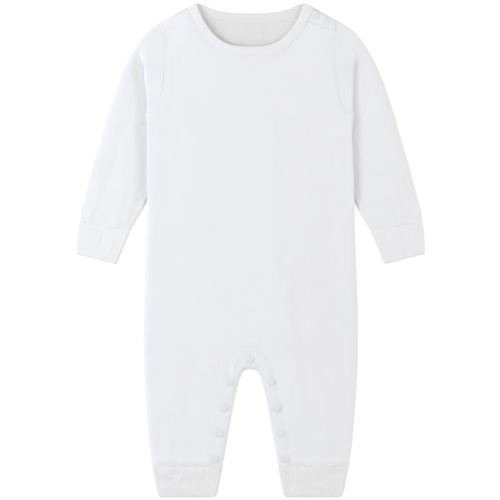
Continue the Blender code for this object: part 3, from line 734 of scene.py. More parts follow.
INSEAM_TUCK = tucked([r[:2] for r in INSEAM], [r[2:] for r in INSEAM], TUCK)
NECK_TUCK = tucked([r[:2] for r in NECK_FRONT], [r[2:4] for r in NECK_FRONT], TUCK)
NECK_TUCK[:, 0] *= NECK_SPREAD
INSEAM_LINE = fine_line(INSEAM_TUCK)
NECK_LINE = fine_line(NECK_TUCK)
COLLAR_LINE = fine_line([r[:2] for r in NECK_FRONT])
BACK_NECK_LINE = fine_line(BACK_STARTS[BACK_NECK_AT - SEWN:])


class Half:
    """Dense rows and columns over half a panel: straight rows from the inner to the outer curve."""

    def __init__(self, starts, neck, cover):
        inner = [*INSEAM_TUCK, *((0.0, y) for y, _, _ in TORSO), *starts]
        outer = [*SIDE_LEG, *((x, y) for _, x, y in TORSO), *((x, y) for x, y, _ in ARMHOLE)]
        inner, outer = np.array(inner), np.array(outer)
        across = outer[SEWN:] - inner[SEWN:]
        outer[SEWN:] += across / np.linalg.norm(across, axis=1, keepdims=True) * TUCK
        pitch = np.full(len(inner) - 1, ROW_PITCH)
        pitch[0] = ANKLE_PITCH
        pitch[-SHOULDER_GAPS:] = SHOULDER_PITCH
        at = stations(np.maximum(gaps(inner), gaps(outer)), pitch)
        extra = ANKLE_ROWS, CROTCH_AT + np.array(CROTCH_ROWS), neck - np.array(NECK_ROWS)
        self.at = np.sort(np.concatenate([at, *extra]))
        self.table_outer = outer
        self.hole_line = fine_line(outer[SEWN:])
        inner = through(inner, self.at, (CROTCH_AT, neck))
        outer = through(outer, self.at, (SEWN,))
        outer[:, 0] += ridge(outer[:, 1], cover, *UNDERARM_SPAN)
        above_crotch = self.at >= CROTCH_AT
        inner[above_crotch, 0] = np.maximum(inner[above_crotch, 0], 0.0)
        length = np.linalg.norm(outer - inner, axis=1)[:, None]
        squeeze = np.minimum(1.0, length / NARROW)
        near = np.array(SEAM_COLUMNS) * squeeze
        far = np.array(EDGE_COLUMNS[::-1]) * squeeze
        share = np.linspace(0.0, 1.0, MIDDLE_COLUMNS + 2)[1:-1]
        middle = near[:, -1:] + share * (length - far[:, :1] - near[:, -1:])
        self.to_inner = np.hstack([near, middle, length - far])
        self.to_outer = length - self.to_inner
        self.xy = inner[:, None] + (outer - inner)[:, None] * (self.to_inner / length)[..., None]
        self.row = np.broadcast_to(self.at[:, None], self.to_inner.shape)

    def along_row(self, values):
        """Values given for the table's rows, for every dense row."""
        return np.interp(self.at, np.arange(len(values)), values)[:, None]


def front_heights(half, side):
    """Upper panel: flat in the middle, rolled down at its sides, gathered a little at its seams.

    z is the middle's height less a quarter ellipse down to either edge, plus the swell over the
    sleeves, the creases, the edge's own rise, and the ridges, puckers and allowance of each seam.
    """
    x, y = half.xy[..., 0] * side, half.xy[..., 1]
    lean = LEFT_LEAN if side > 0 else RIGHT_LEAN
    x = x - side * np.interp(y, *np.transpose(lean)) * bell(half.to_outer, LEAN_REACH)
    below = window(np.minimum(half.table_outer[:, 1], LIFT_Y[2]), *LIFT_Y)
    outer_z = EDGE_Z + (OVER_SLEEVE_Z - EDGE_Z) * below
    outer_z[SEWN:] = [z for _, _, z in ARMHOLE]
    inner_z = np.full(len(outer_z), PUFF)
    inner_z[:len(INSEAM)] = PLACKET[0][1]
    inner_z[NECK_AT:] = [z for *_, z in NECK_FRONT]
    middle_z = np.full(len(outer_z), PUFF)
    middle_z[-len(SHOULDER_Z):] = SHOULDER_Z
    reach = ROLL + (ROLL_OVER_SLEEVE[side < 0] - ROLL) * below
    reach[SEWN:] = SEAM_ROLL
    outer_z, inner_z, middle_z, reach = map(half.along_row, (outer_z, inner_z, middle_z, reach))
    z = (middle_z - (middle_z - outer_z) * (1.0 - roll(half.to_outer, reach))
         - (middle_z - inner_z) * (1.0 - roll(half.to_inner, SEAM_ROLL))
         + SWELL * window(y, *SWELL_Y) * ramp(half.to_outer, *SWELL_INSETS))
    calm = ease(half.to_outer / SIDE_CALM)
    to_inseam = away_from(half.xy, INSEAM_LINE)
    z += (creases(x, y, FRONT_CREASES) * ramp(to_inseam, *INSEAM_CALM)
          * np.where(half.row > SEWN, ease(half.to_outer / HOLE_CALM), calm))
    z += creases(x, y, INSEAM_CREASES) + edge_rise(x, y)
    # ankle seam: the leg bags a little over it and then dips into it
    above = y - ANKLE_Y
    z += calm * (ridge(above, *ANKLE_BAG) + ridge(above, *ANKLE_DIP)
                 + puckers(above, x, side, *ANKLE_PUCKERS))
    # inseam: the allowance goes under the placket, with small pulls between the snaps
    z += (ridge(to_inseam, *INSEAM_RIDGE) - allowance(to_inseam, INSEAM_SHOWN)
          + puckers(to_inseam, y * 0.6, side, *INSEAM_PUCKERS))
    # neck seam: the same under the neckband, which stands up
    to_seam = away_from(half.xy, NECK_LINE)
    z += (neck_rise(x, y) * ease(1.0 - to_seam / NECK_RISE_REACH) - allowance(to_seam)
          + ridge(to_seam, *NECK_RIDGE) + puckers(to_seam, x * 0.8 + y * 0.5, 0.0, *NECK_PUCKERS))
    # armhole seam: under the sleeve; deepest in its lower half, next to a narrow ridge
    to_seam = away_from(half.xy, half.hole_line)
    low = window(y, *HOLE_LOW_Y)
    z += (low * (ridge(to_seam, *HOLE_RIDGE) + ridge(to_seam, *HOLE_GROOVE)
                 + ridge(to_seam, *RIGHT_HOLE_DIP) * (side < 0))
          - allowance(to_seam, HOLE_SHOWN * low) + puckers(to_seam, y * 0.8, side, *HOLE_PUCKERS))
    return np.dstack([x, y, z])


def back_heights(half, side):
    """Lower panel: flat on the table, lifted where a sleeve lies under its side.

    z is the lying height plus the lift, the rise to the placket and to the neckband, the ridges
    among the creases and the collar's lift, each a smooth step in from its seam or side.
    """
    x, y = half.xy[..., 0] * side, half.xy[..., 1]
    lifted = window(y, *LIFT_Y) * ramp(half.to_outer, *LIFT_INSETS)
    to_seam = away_from(half.xy, INSEAM_LINE)
    rise = 1.0 - ease((to_seam - TUCK) / PLACKET_RISE)
    from_side, from_inseam, from_ankle = BACK_CALM
    clear = ramp(half.to_outer, *from_side) * ramp(to_seam, *from_inseam)
    clear = clear * ramp(y - ANKLE_Y, *from_ankle)
    folds = np.maximum(creases(x, y, BACK_CREASES), 0.0) * clear * (1.0 - lifted)
    z = LIE + LIFT * lifted + (PLACKET_BACK_Z - LIE) * rise + folds + allowance(to_seam)
    # neck seam: up to the neckband's thickness, and under it
    to_seam = away_from(half.xy, BACK_NECK_LINE)
    height, length = BAND_RISE
    z += height * (1.0 - ease((to_seam - TUCK) / length)) - allowance(to_seam)
    z = np.maximum(z, LIE) + collar_lift(x, y)
    # armhole seam: inside the sleeve
    z += allowance(away_from(half.xy, half.hole_line)) * ramp(y, *BACK_HOLE_Y)
    return np.dstack([x, y, z])


def panel(name, half, heights, looks):
    """Both halves of a panel as one shell, sharing the middle line above the crotch.

    looks are the materials of its upper and lower side.
    """
    left, right = heights(half, 1.0), heights(half, -1.0)
    points = np.concatenate([left.reshape(-1, 3), right.reshape(-1, 3)])
    index = numbered(left)
    same = np.arange(len(points))
    on_middle = half.xy[:, 0, 0] < 1e-6
    same[index[on_middle, 0] + index.size] = index[on_middle, 0]
    faces = np.vstack([quads(index), quads(index + index.size)[:, ::-1]])
    obj = piece(name + "_cloth", points, faces, looks[0], points[:, :2], same, JERSEY)
    obj.data.materials.append(looks[1])
    obj.modifiers["wall"].material_offset = 1
    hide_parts(name)
    return obj, left, right


front_half = Half([*FRONT_STARTS, *NECK_TUCK], NECK_AT, UNDERARM_COVER)
back_half = Half(BACK_STARTS, BACK_NECK_AT, -UNDERARM_ROOM)
front, front_left, front_right = panel("front_body", front_half, front_heights, (jersey, inside))
# The back's upper side takes the wrong side's material, darkened as painted shade inside the neck
# opening
back, back_left, back_right = panel("back_body", back_half, back_heights, (inside, jersey))


# ---- sleeves ----
def pleated(length, top_z, fold, depth, drop, rise_start, rise, floor):
    """Upper layer of a row that starts at the armhole: out to the fold, in to the valley, out again.

    It steps down at the fold where the pleat is shallow, and turns through two hairpins where it is
    deep, with a blend of both between. The step is up to twice as wide where the fold runs out.
    """
    middle_z, low_z = (top_z - drop * (top_z - z) for z in PLEAT_Z)
    low_z += drop * floor
    turn, bend, valley = (top_z - middle_z) / 2, (middle_z - low_z) / 2, fold - depth
    tuck = min(1.0, depth / FULL_TUCK)
    narrow = min(1.0, length / NARROW_HEAD) * (2.0 - tuck if drop < 1.0 else 1.0)
    step = np.array(STEP) * (narrow, low_z - top_z) + (fold, top_z)
    hairpins = np.array([(fold - turn, top_z), (fold, (top_z + middle_z) / 2),
                         (fold - turn, middle_z), (valley + bend, middle_z),
                         (valley, (middle_z + low_z) / 2), (valley + bend, low_z)])
    bends = step + (hairpins - step) * tuck
    points = [(0.0, top_z), (0.5 * float(bends[0, 0]), top_z), *bends.tolist()]
    start = fold + STEP[-1][0] * narrow
    end = length - OUTER_INSETS[0] * min(1.0, length / SLIM)
    for share in OUTER_SHARES:
        d = start + share * (end - start)
        points.append((d, low_z + (SLEEVE_Z - low_z) * ease((d - fold - rise_start) / rise) * drop))
    return points


def tube_top(length, press, low_z, spread, side):
    """Upper layer of a closed row: pressed flat for `press` mm, then up to its full height."""
    inner_edge = (LIE + low_z) / 2
    start = np.array(PLEAT_COLUMNS) * spread
    rest = spread + np.array(OUTER_SHARES) * (length - spread - OUTER_INSETS[0])
    d = np.array([*start, *rest])
    begin, rise = TUBE_RISE[side > 0]
    z = low_z + (SLEEVE_Z - low_z) * ease((d - press - begin) / rise)
    return list(zip(d, inner_edge + (z - inner_edge) * roll(d, INNER_ROLL)))


def sleeve_row(inner, outer, upper, closed_z=LIE):
    """One section round the sleeve: over the top from its inner end, and back along the table.

    The outer edge is a quarter ellipse. closed_z is the upper layer's height at a closed inner edge.
    """
    inner, outer = np.array(inner), np.array(outer)
    length = float(np.linalg.norm(outer - inner))
    squeeze = min(1.0, length / SLIM)
    end_z = upper[-1][1]
    edge_z = (LIE + end_z) / 2
    ring = list(upper)
    ring += [(length - inset * squeeze, edge_z + (end_z - edge_z) * roll(inset, OUTER_ROLL))
             for inset in OUTER_INSETS]
    ring += [(length, edge_z), (length - UNDER_INSET * squeeze, LIE)]
    ring += [(length * share, LIE) for share in RETURN_SHARES]
    ring += [(RETURN_INSET * squeeze, LIE), (0.0, (LIE + closed_z) / 2)]
    along = (outer - inner) / length
    return [(*(inner + along * d), z) for d, z in ring]


def open_row(start_x, start_y, z, outer_x, outer_y, fold_x, valley_x, drop, side):
    """A row that starts at the armhole, its rise and floor going over to their upper values."""
    length = float(np.hypot(outer_x - start_x, outer_y - start_y))
    stretch = length / (outer_x - start_x)
    shape = *RISE[side > 0], FLOOR[side > 0]
    rise_start, rise, floor = (np.interp(outer_y, RISE_Y, ends) for ends in shape)
    fold, depth = (fold_x - start_x) * stretch, fold_x - valley_x
    upper = pleated(length, z, fold, depth, drop, rise_start, rise, floor)
    return sleeve_row((start_x, start_y), (outer_x, outer_y), upper)


def sleeve_table(side):
    """The sleeve's rows, from the cuff seam to the shoulder tip.

    They are the solid's, with the fold brought to the edge of the body on that side.
    """
    below, under = UNDERARM_IN[side > 0]
    rows = []
    for inner_x, inner_y, outer_x, outer_y, press, low_z, spread in SLEEVE_TUBE[::-1]:
        low_z += FLOOR[side > 0][0] * ramp(inner_y, *FLOOR_Y)
        if inner_y == SLEEVE_TUBE[0][1]:
            inner_x -= below
        length = float(np.hypot(outer_x - inner_x, outer_y - inner_y))
        upper = tube_top(length, press, low_z, spread, side)
        rows.append(sleeve_row((inner_x, inner_y), (outer_x, outer_y), upper, low_z))
    x, y, z, outer_x, outer_y, fold, valley, drop = UNDERARM
    row = x - under, y, z, outer_x, outer_y, fold - under, valley - under, drop
    rows.append(open_row(*row, side))
    for (x, y, z), (outer_x, outer_y, fold, valley, drop) in zip(ARMHOLE, SLEEVE_HEAD):
        inward = fold - float(edge_at(side, outer_y)) if outer_y <= LEFT_EDGE[-1][0] else 0.0
        rows.append(open_row(x, y, z, outer_x, outer_y, fold - inward, valley - inward, drop, side))
    return np.array(rows)


OUTER_COLUMN = len(PLEAT_COLUMNS) + len(OUTER_SHARES) + len(OUTER_INSETS)   # the outer edge
OUTER_EDGE_HOLD = 0.3                   # how far creases move the column beside it
PLEAT = slice(2, 8)                     # columns of the pleat's bends, which creases don't move
TUBE_ROWS = len(SLEEVE_TUBE)
# Cuts between columns: fine where the upper layer rises from its flat part
SLEEVE_STEPS = (3, 3, 2, 3, 3, 3, 3, 3, 3, 3, 4, 8, 7, 5, 3, 3, 3, 8, 10, 10)
FIRST_COLUMN, FIRST_ROW = 0.05, 0.02    # an extra column beside the seam, and a row at the cuff
SLEEVE_PITCH, CUFF_PITCH = 1.9, 1.3
# The fold goes with the body's edge: share of that for columns
FOLD_COLUMNS, FOLD_SHARE = (0.0, 2.0, 3.0, 4.0), (1.0, 1.0, 0.5, 0.0)
# The under side's folds are the upper side's creases, drawn in and down, and lower
UNDER_IN, UNDER_DOWN, UNDER_HEIGHT = 1.03, 6.0, 0.5


def sleeve(name, side, table):
    """Tube from the cuff seam to the underarm, open above it along the armhole.

    Smooth curves through the table's rows and columns, plus the creases and what each seam adds.
    """
    rows = sleeve_table(side)
    outer = rows[:, OUTER_COLUMN]
    reach = np.ones(rows.shape[:2])                     # how far creases may move each point
    reach[:, OUTER_COLUMN:] = 0.0
    reach[:, OUTER_COLUMN - 1] = OUTER_EDGE_HOLD
    reach[TUBE_ROWS:, PLEAT] = 0.0
    reach[:, 0] = 0.0
    rows = np.dstack([rows, reach])
    across = np.sort(np.append(cuts(SLEEVE_STEPS), FIRST_COLUMN))
    rows = through(rows.swapaxes(0, 1), across).swapaxes(0, 1)
    pitch = np.full(len(outer) - 1, SLEEVE_PITCH)
    pitch[0] = CUFF_PITCH
    at = np.sort(np.append(stations(gaps(outer), pitch), FIRST_ROW))
    x, y, z, reach = np.moveaxis(through(rows, at), -1, 0)
    x = x * side
    z = z + creases(x, y, table) * ease(reach)
    share = np.interp(across, FOLD_COLUMNS, FOLD_SHARE)
    z += ramp(at, TUBE_ROWS - 0.5, TUBE_ROWS)[:, None] * share * edge_rise(x, y)
    # cuff seam: gathered, and dipping a little to the cuff
    inner_x, inner_y, outer_x, outer_y, *_ = SLEEVE_TUBE[-1]
    above = y - np.interp(np.abs(x), (inner_x, outer_x), (inner_y, outer_y))
    top = ease(reach) * (across < OUTER_COLUMN)
    z += top * (ridge(above, *WRIST_BAG) + ridge(above, *WRIST_DIP)
                + puckers(np.maximum(above, 0.0), x * 0.8, side, *WRIST_PUCKERS))
    # armhole seam: its own side of the dip, only in the lower half
    low = window(y, *HOLE_LOW_Y) * (across < 2.0)
    off = np.abs(x) - np.interp(y, [r[1] for r in ARMHOLE], [r[0] for r in ARMHOLE])
    dips = SLEEVE_DIPS[side > 0], SLEEVE_RIDGE, SLEEVE_GROOVE
    z += low * sum(ridge(off, *dip) for dip in dips)
    under = (across > OUTER_COLUMN + 2.0) & (across < len(SLEEVE_STEPS) - 0.5)
    folds = np.maximum(creases(x * UNDER_IN, y + UNDER_DOWN, table), 0.0)
    z += UNDER_HEIGHT * folds * under
    points = np.dstack([x, y, np.maximum(z, LIE)])
    u = travelled(points, 1)
    v = np.broadcast_to(travelled(points, 0).mean(axis=1, keepdims=True), u.shape)
    middle = int(np.argmin(np.abs(across - OUTER_COLUMN)))
    uv = np.dstack([u - u[:, middle:middle + 1], v])
    index = numbered(points)
    same = np.arange(index.size)
    closed = at <= TUBE_ROWS - 1
    same[index[closed, -1]] = index[closed, 0]
    web = (at >= TUBE_ROWS - 1) & (at <= TUBE_ROWS)     # closes the sleeve up to the underarm
    faces = np.vstack([quads(index), quads(index[web][:, [-1, 0]])])
    if side < 0:
        faces = faces[:, ::-1]
    obj = piece(name + "_cloth", points, faces, jersey, uv, same, JERSEY)
    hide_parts(name)
    return obj


left_sleeve = sleeve("sleeve_left", 1.0, LEFT_SLEEVE_CREASES)
right_sleeve = sleeve("sleeve_right", -1.0, RIGHT_SLEEVE_CREASES)


# ---- rib pieces ----
RIB_PITCH = 2.3
RIB_HEIGHT = 0.12
RIB_WIDTH = 80.0                        # width of a cuff on which its ribs have that pitch
TURN = np.linspace(0.0, np.pi, 7)[1:-1]     # angles round the fold at a rib piece's free edge
OUTER_POINTS, INNER_POINTS = 28, 14     # along a cuff's outer and inner layer
FLAT_POINTS, END_POINTS = 150, 14       # along each straight side of its section, round each end
CUFF_SHOWN, CUFF_DEPTH = -0.7, 1.1      # its allowance under the sleeve or leg
CUFF_FADE = 10.0                        # creases and swell die out this near to its sides
CUFF_DIP_WIDTH = 2.6
HEM_DIP, HEM_REACH = 0.5, 7.0           # how far it thins to the hem, and on what length


def ribs(s):
    """Rounded ribs and narrow grooves along s: the root of a cosine's size, about a mean of 0."""
    return RIB_HEIGHT * (np.sqrt(np.abs(np.cos(np.pi * s / RIB_PITCH)) + 0.02) - 0.65)


def cuff(name, side, table, look, top_z, seam_dip, dents):
    """Rib tube folded double: out along the outer layer, round the hem and back up inside.

    Its section is a flat oval, two straight sides joined by half circles, with each layer set off
    from the middle of the wall and ribs on the outer one.
    """
    edges = np.array(table).reshape(len(table), 2, 2)
    down = travelled(edges.mean(axis=1), 0)
    height = down[-1]
    outer_run = np.linspace(-TUCK, height - FOLD, OUTER_POINTS)
    inner_run = np.linspace(height - FOLD, 0.5, INNER_POINTS)
    along = np.concatenate([outer_run, height - FOLD + FOLD * np.sin(TURN), inner_run])
    proud = np.concatenate([np.full(OUTER_POINTS, FOLD), FOLD * np.cos(TURN),
                            np.full(INNER_POINTS, -FOLD)])[:, None]
    from_seam = along[:, None]
    proud = proud - allowance(from_seam + TUCK, CUFF_SHOWN, CUFF_DEPTH) * (proud > 0)
    ends = through(edges, np.interp(along, down, np.arange(len(down))))
    lead = (edges[1] - edges[0]) / down[1]
    ends = ends + np.minimum(along, 0.0)[:, None, None] * lead
    inner, outer = ends[:, 0], ends[:, 1]
    length = np.linalg.norm(outer - inner, axis=1)[:, None]
    radius = (top_z - CUFF_LOW) / 2
    flat = length - 2.0 * radius
    half_turn = np.pi * radius
    around = cuts((FLAT_POINTS, END_POINTS, FLAT_POINTS, END_POINTS))
    part = np.minimum(around.astype(int), 3)    # upper side, outer end, under side, inner end
    t = around - part
    angle = np.pi * np.choose(part, [0.5, 0.5 - t, -0.5, -0.5 - t])
    straight = np.choose(part, [t, 1.0, 1.0 - t, 0.0])
    s = np.choose(part, [t * flat, flat + t * half_turn, flat + half_turn + t * flat,
                         2 * flat + half_turn + t * half_turn])
    swell = proud + ribs(s * RIB_WIDTH / length.mean()) * (proud > 0)
    d = radius + straight * flat + (radius + swell) * np.cos(angle)
    z = CUFF_LOW + radius + (radius + swell) * np.sin(angle)
    across = (outer - inner) / length
    x = (inner[:, :1] + across[:, :1] * d) * side
    y = inner[:, 1:] + across[:, 1:] * d
    top = np.clip(np.sin(angle), 0.0, 1.0) * np.ones_like(d)
    fade = ease(d / CUFF_FADE) * ease((length - d) / CUFF_FADE)
    hem = np.clip(from_seam - height + HEM_REACH, 0.0, HEM_REACH) / HEM_REACH
    z += top * fade * (ridge(from_seam, seam_dip, 0.0, CUFF_DIP_WIDTH)
                       + ridge(from_seam, *CUFF_SWELL)
                       + puckers(from_seam, x * 0.8, side, *CUFF_PUCKERS)
                       + creases(x, y, dents) - HEM_DIP * hem ** 2)
    points = np.dstack([x, y, np.maximum(z, LAYER / 2)])
    index = numbered(points)
    same = np.arange(index.size)
    same[index[:, -1]] = index[:, 0]
    uv = np.dstack([s, np.broadcast_to(travelled(points, 0)[:, :1], s.shape)])
    faces = quads(index)
    if side > 0:
        faces = faces[:, ::-1]
    obj = piece(name + "_rib", points, faces, look, uv, same, LAYER)
    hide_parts(name)
    return obj


# Outline, material, height and dip at the seam of each kind
# The ankles' material is darkened as painted shade
CUFF_KINDS = {"wrist": (WRIST, ribbing, WRIST_Z, 0.0), "ankle": (ANKLE, ankle_rib_painted_shade, ANKLE_Z, -0.6)}
# Creases and dents of each cuff, as above
CUFF_DENTS = {
    "wrist_cuff_left": ((170, 26, 176, -4, 1, 5, 0.4),
                        (190, 28, 192, 4, -1, 5, -0.5),
                        (202, 20, 180, 8, 1, 4, 0.3)),
    "wrist_cuff_right": ((-176, 24, -182, -2, -1, 4, -0.6),
                         (-166, 20, -172, -4, 1, 4.5, 0.45),
                         (-196, 26, -200, 2, 1, 5, 0.35)),
    "ankle_cuff_left": ((66, -262.5, 108, -262.5, 0, 3.4, 0.9),
                        (43, -264, 50, -295, 1, 3.6, -1.3),
                        (94, -270, 116, -275, 1, 4.5, -1.2),
                        (110, -276, 112, -297, 0.5, 3, 0.9),
                        (74, -293, 94, -286, 1, 4, 0.7),
                        (66, -290, 86, -291, -1, 3, -0.7),
                        (56, -266, 88, -270, 1, 4, 0.4),
                        (60, -284, 68, -270, 2, 5, 0.5)),
    "ankle_cuff_right": ((-97, -270, -82, -275, 0.5, 4.5, -1.1),
                         (-114, -277, -88, -280, -1, 3, -0.7),
                         (-86, -278, -68, -288, -1, 4.5, -1),
                         (-113, -288, -96, -292, 1, 3.5, 0.7),
                         (-94, -289, -74, -293, 1, 3, 0.6),
                         (-60, -268, -44, -290, 1, 4, -0.8),
                         (-70, -266, -56, -276, 1, 3.5, 0.6)),
}
cuffs = [cuff(name, 1.0 if name.endswith("left") else -1.0, *CUFF_KINDS[name.split("_")[0]], dents)
         for name, dents in CUFF_DENTS.items()]

BAND_POINTS, BAND_FIRST = 12, 0.015     # across each layer, and one more beside the seam
RIB_POINTS = 6                          # along a rib's pitch
BAND_SPLIT = (1.6, 3.6)                 # height of its edge: the back's below, the front's above
BAND_RIB, BAND_RIB_START = 0.5, 0.125   # share of a rib's height, and of the width until it is full
BAND_DOME, BAND_SEAM_DIP = (0.35, 0.75, 0.3), (-0.15, 0.0, 0.2)     # across the band, as shares
BAND_DROOP = 0.7                        # how far the front's free edge sinks on the wearer's left
DROOP_X, DROOP_Y = (5.0, 35.0), (292.0, 272.0)


def neckband(name):
    """Rib strip folded double round the neck, flattened, with its fold towards the opening.

    Straight across from the seam to the free edge at every place along two smooth curves, out on
    the upper layer, round the fold and back on the under layer.
    """
    half = [*NECK_FRONT, NECK_FOLD, *NECK_BACK]
    ring = np.array(half + [(-a, b, -c, d, z) for a, b, c, d, z in half[-2:0:-1]])
    count = len(ring)
    ring = np.stack([ring[:, [0, 1, 4]], ring[:, [2, 3, 4]]], axis=1)
    wrapped = np.concatenate([ring[-2:], ring, ring[:3]])
    at = stations(gaps(ring[:, 0][np.r_[0:count, 0]]), RIB_PITCH / RIB_POINTS)[:-1]
    dense = through(wrapped, at + 2.0)
    edge, seam = dense[:, 0], dense[:, 1]
    s = travelled((edge + seam) / 2, 0)[:, None]
    ribs_round = 2.0 * np.pi * np.rint(s[-1] / RIB_PITCH) / s[-1] * s
    x, y, height = edge[:, :1], edge[:, 1:2], edge[:, 2:]
    front = ramp(height, *BAND_SPLIT)
    stand = front * neck_rise(x, y) + (1.0 - front) * collar_lift(x, y)
    share = np.insert(np.linspace(0.0, 1.0, BAND_POINTS), 1, BAND_FIRST)
    width = np.linalg.norm((edge - seam)[:, :2], axis=1)[:, None]
    w = np.concatenate([share * (width - FOLD) / width,
                        1.0 + (np.sin(TURN) - 1.0) * FOLD / width,
                        share[::-1] * (width - FOLD) / width], axis=1)
    upper = np.concatenate([np.ones_like(share), np.cos(TURN), -np.ones_like(share)])
    dome = front * (ridge(w, *BAND_DOME) + ridge(w, *BAND_SEAM_DIP))
    rib = RIB_HEIGHT * BAND_RIB * np.cos(ribs_round) * ease(w / BAND_RIB_START)
    proud = upper * FOLD + np.maximum(upper, 0.0) * (dome + rib)
    points = seam[:, None] + (edge - seam)[:, None] * w[..., None]
    droop = BAND_DROOP * front * ramp(x, *DROOP_X) * ramp(y, *DROOP_Y) * w ** 2
    points[..., 2] = np.maximum(points[..., 2] + proud + stand - droop, LAYER / 2)
    index = numbered(points)
    faces = quads(np.vstack([index, index[:1]]))
    uv = np.dstack([np.broadcast_to(s, w.shape), travelled(points, 1)])
    obj = piece(name + "_rib", points, faces, ribbing, uv, None, LAYER)
    # Its back half, inside the neck opening, takes the darker collar material: painted shade
    obj.data.materials.append(collar)
    painted_shade_faces = np.repeat(height < BAND_SPLIT[0], len(w[0]) - 1)
    obj.data.polygons.foreach_set("material_index", painted_shade_faces.astype("i"))
    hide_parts(name)
    return obj


band = neckband("neckband")


# ---- plackets and snaps ----
def inseam_point(y):
    """The middle of an inseam snap on the wearer's left leg, SNAP_INSET in from the free edge."""
    table = np.array(INSEAM)[::-1]
    edge = np.array([np.interp(-y, -table[:, 1], table[:, c]) for c in range(4)])
    across = edge[2:] - edge[:2]
    return edge[:2] + across / np.linalg.norm(across) * SNAP_INSET


LEFT_SNAPS = np.array([inseam_point(y) for y in SNAP_Y])
SNAPS = np.concatenate([LEFT_SNAPS * (-1.0, 1.0), [(0.0, CROTCH_SNAP_Y)], LEFT_SNAPS])

PLACKET_PITCH = 1.5
PLACKET_ENDS = 0.01                     # extra rows beside the ankles
# Columns, from the seam: its fine ones, the wide middle, and fine ones to the free edge
PLACKET_ACROSS = (0.0, 0.012), np.linspace(0.042, 0.8, 19), np.linspace(0.82, 1.0, 9)
PLACKET_STITCHES = (4, 22)              # columns with a line of stitches
PLACKET_RIDGE, PLACKET_DIP = (0.25, 5.0, 4.0), (-0.08, 2.2, 0.9)    # from the seam, from the edge
# Between the snaps the front swells and the back sinks: height, wave, phase; and how far from a snap
# that starts and is full
PLACKET_SWELL, SWELL_FROM_SNAP = (0.3, 0.15, 7.0), (5.0, 10.0)
PLACKET_SINK, SINK_FROM_SNAP = (0.15, 0.1, 8.0), (5.5, 11.5)
SWELL_SEAM, SWELL_EDGE = 6.0, 4.0       # the swell is full this far from the seam, and the free edge


def waved(s, height, wave, phase):
    """A height along the placket with a ripple twice as long as a seam's."""
    return height + wave * ripple(s * 0.5, phase)


def placket(name, front_side):
    """Facing along the inseam, from one ankle over the crotch to the other.

    Straight across from the seam to the free edge. The front one follows its profile, and swells
    between the snaps; the back one sinks there.
    """
    half = np.array(INSEAM).reshape(-1, 2, 2)
    table = np.concatenate([half, half[-2::-1] * (-1.0, 1.0)])
    at = stations(gaps(table[:, 0]), PLACKET_PITCH)
    at = np.sort(np.append(at, (PLACKET_ENDS, len(table) - 1 - PLACKET_ENDS)))
    dense = through(table, at)
    edge, seam = dense[:, 0], dense[:, 1]
    w = np.concatenate(PLACKET_ACROSS)
    xy = seam[:, None] + (edge - seam)[:, None] * w[:, None]
    x, y = xy[..., 0], xy[..., 1]
    width = np.linalg.norm(edge - seam, axis=1)[:, None]
    s = travelled((edge + seam) / 2, 0)[:, None]
    nearest = np.min(np.hypot(x[..., None] - SNAPS[:, 0], y[..., None] - SNAPS[:, 1]), axis=-1)
    from_seam, from_edge = w * width, (1.0 - w) * width
    if front_side:
        shares = [share for share, _ in PLACKET]
        profile = through(np.array(PLACKET), np.interp(w, shares, np.arange(len(shares))))
        swell = ramp(nearest, *SWELL_FROM_SNAP) * waved(s, *PLACKET_SWELL)
        z = (profile[:, 1] + ridge(from_seam, *PLACKET_RIDGE) + ridge(from_edge, *PLACKET_DIP)
             + swell * ease(from_seam / SWELL_SEAM) * ease(from_edge / SWELL_EDGE)
             + creases(x, y, INSEAM_CREASES) + ridge(y - ANKLE_Y, *ANKLE_DIP))
    else:
        z = PLACKET_BACK_Z - ramp(nearest, *SINK_FROM_SNAP) * waved(s, *PLACKET_SINK)
    points = np.dstack([x, y, z])
    uv = np.dstack([from_seam, np.broadcast_to(s, x.shape)])
    faces = quads(numbered(points))[:, ::-1]
    obj = piece(name + "_cloth", points, faces, facing, uv, None, JERSEY)
    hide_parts(name)
    return obj, points


placket_front, front_tape = placket("inseam_placket_front", True)
placket_back, back_tape = placket("inseam_placket_back", False)

# Radius and height of a moulded cap: rounded rim and a shallow dish
CAP_PROFILE = ((4.7, 0.0), (4.95, 0.06), (5.0, 0.14), (4.9, 0.26), (4.6, 0.37), (4.1, 0.45),
               (3.5, 0.5), (2.8, 0.51), (2.2, 0.49), (1.5, 0.46), (0.8, 0.44), (0.3, 0.43))
BACK_CAP, SHOULDER_CAP = 1.2, 0.85      # how high the others' caps are, beside those of the front
CAP_GAP = 0.1                           # between a cap and the cloth
BACK_FOOT = PLACKET_BACK_Z - JERSEY / 2 - SEAM
JOINT_LOW, JOINT_HIGH = PLACKET_BACK_Z + JERSEY / 2 + SEAM, PLACKET[2][1] - JERSEY / 2 - SEAM
JOINT_TALL = JOINT_HIGH - JOINT_LOW
# Radius and height of a joint: a stud and a socket with a waist between them
JOINT_PROFILE = ((3.8, 0.0), (4.0, 0.2), (4.0, JOINT_TALL * 0.4), (3.4, JOINT_TALL * 0.46),
                 (3.4, JOINT_TALL * 0.54), (4.0, JOINT_TALL * 0.6), (4.0, JOINT_TALL - 0.2),
                 (3.8, JOINT_TALL))


def inseam_snaps(kind, heights, up, profile, around, look):
    """One turned part at every inseam snap, from its foot at that height."""
    places = np.column_stack([SNAPS, np.broadcast_to(heights, len(SNAPS))])
    ups = [(0.0, 0.0, up)] * len(SNAPS)
    parts = turned(f"inseam_snap_{kind}s", places, ups, profile, around, look)
    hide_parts(*[f"inseam_snap_{kind}_{i}" for i in range(1, len(SNAPS) + 1)])


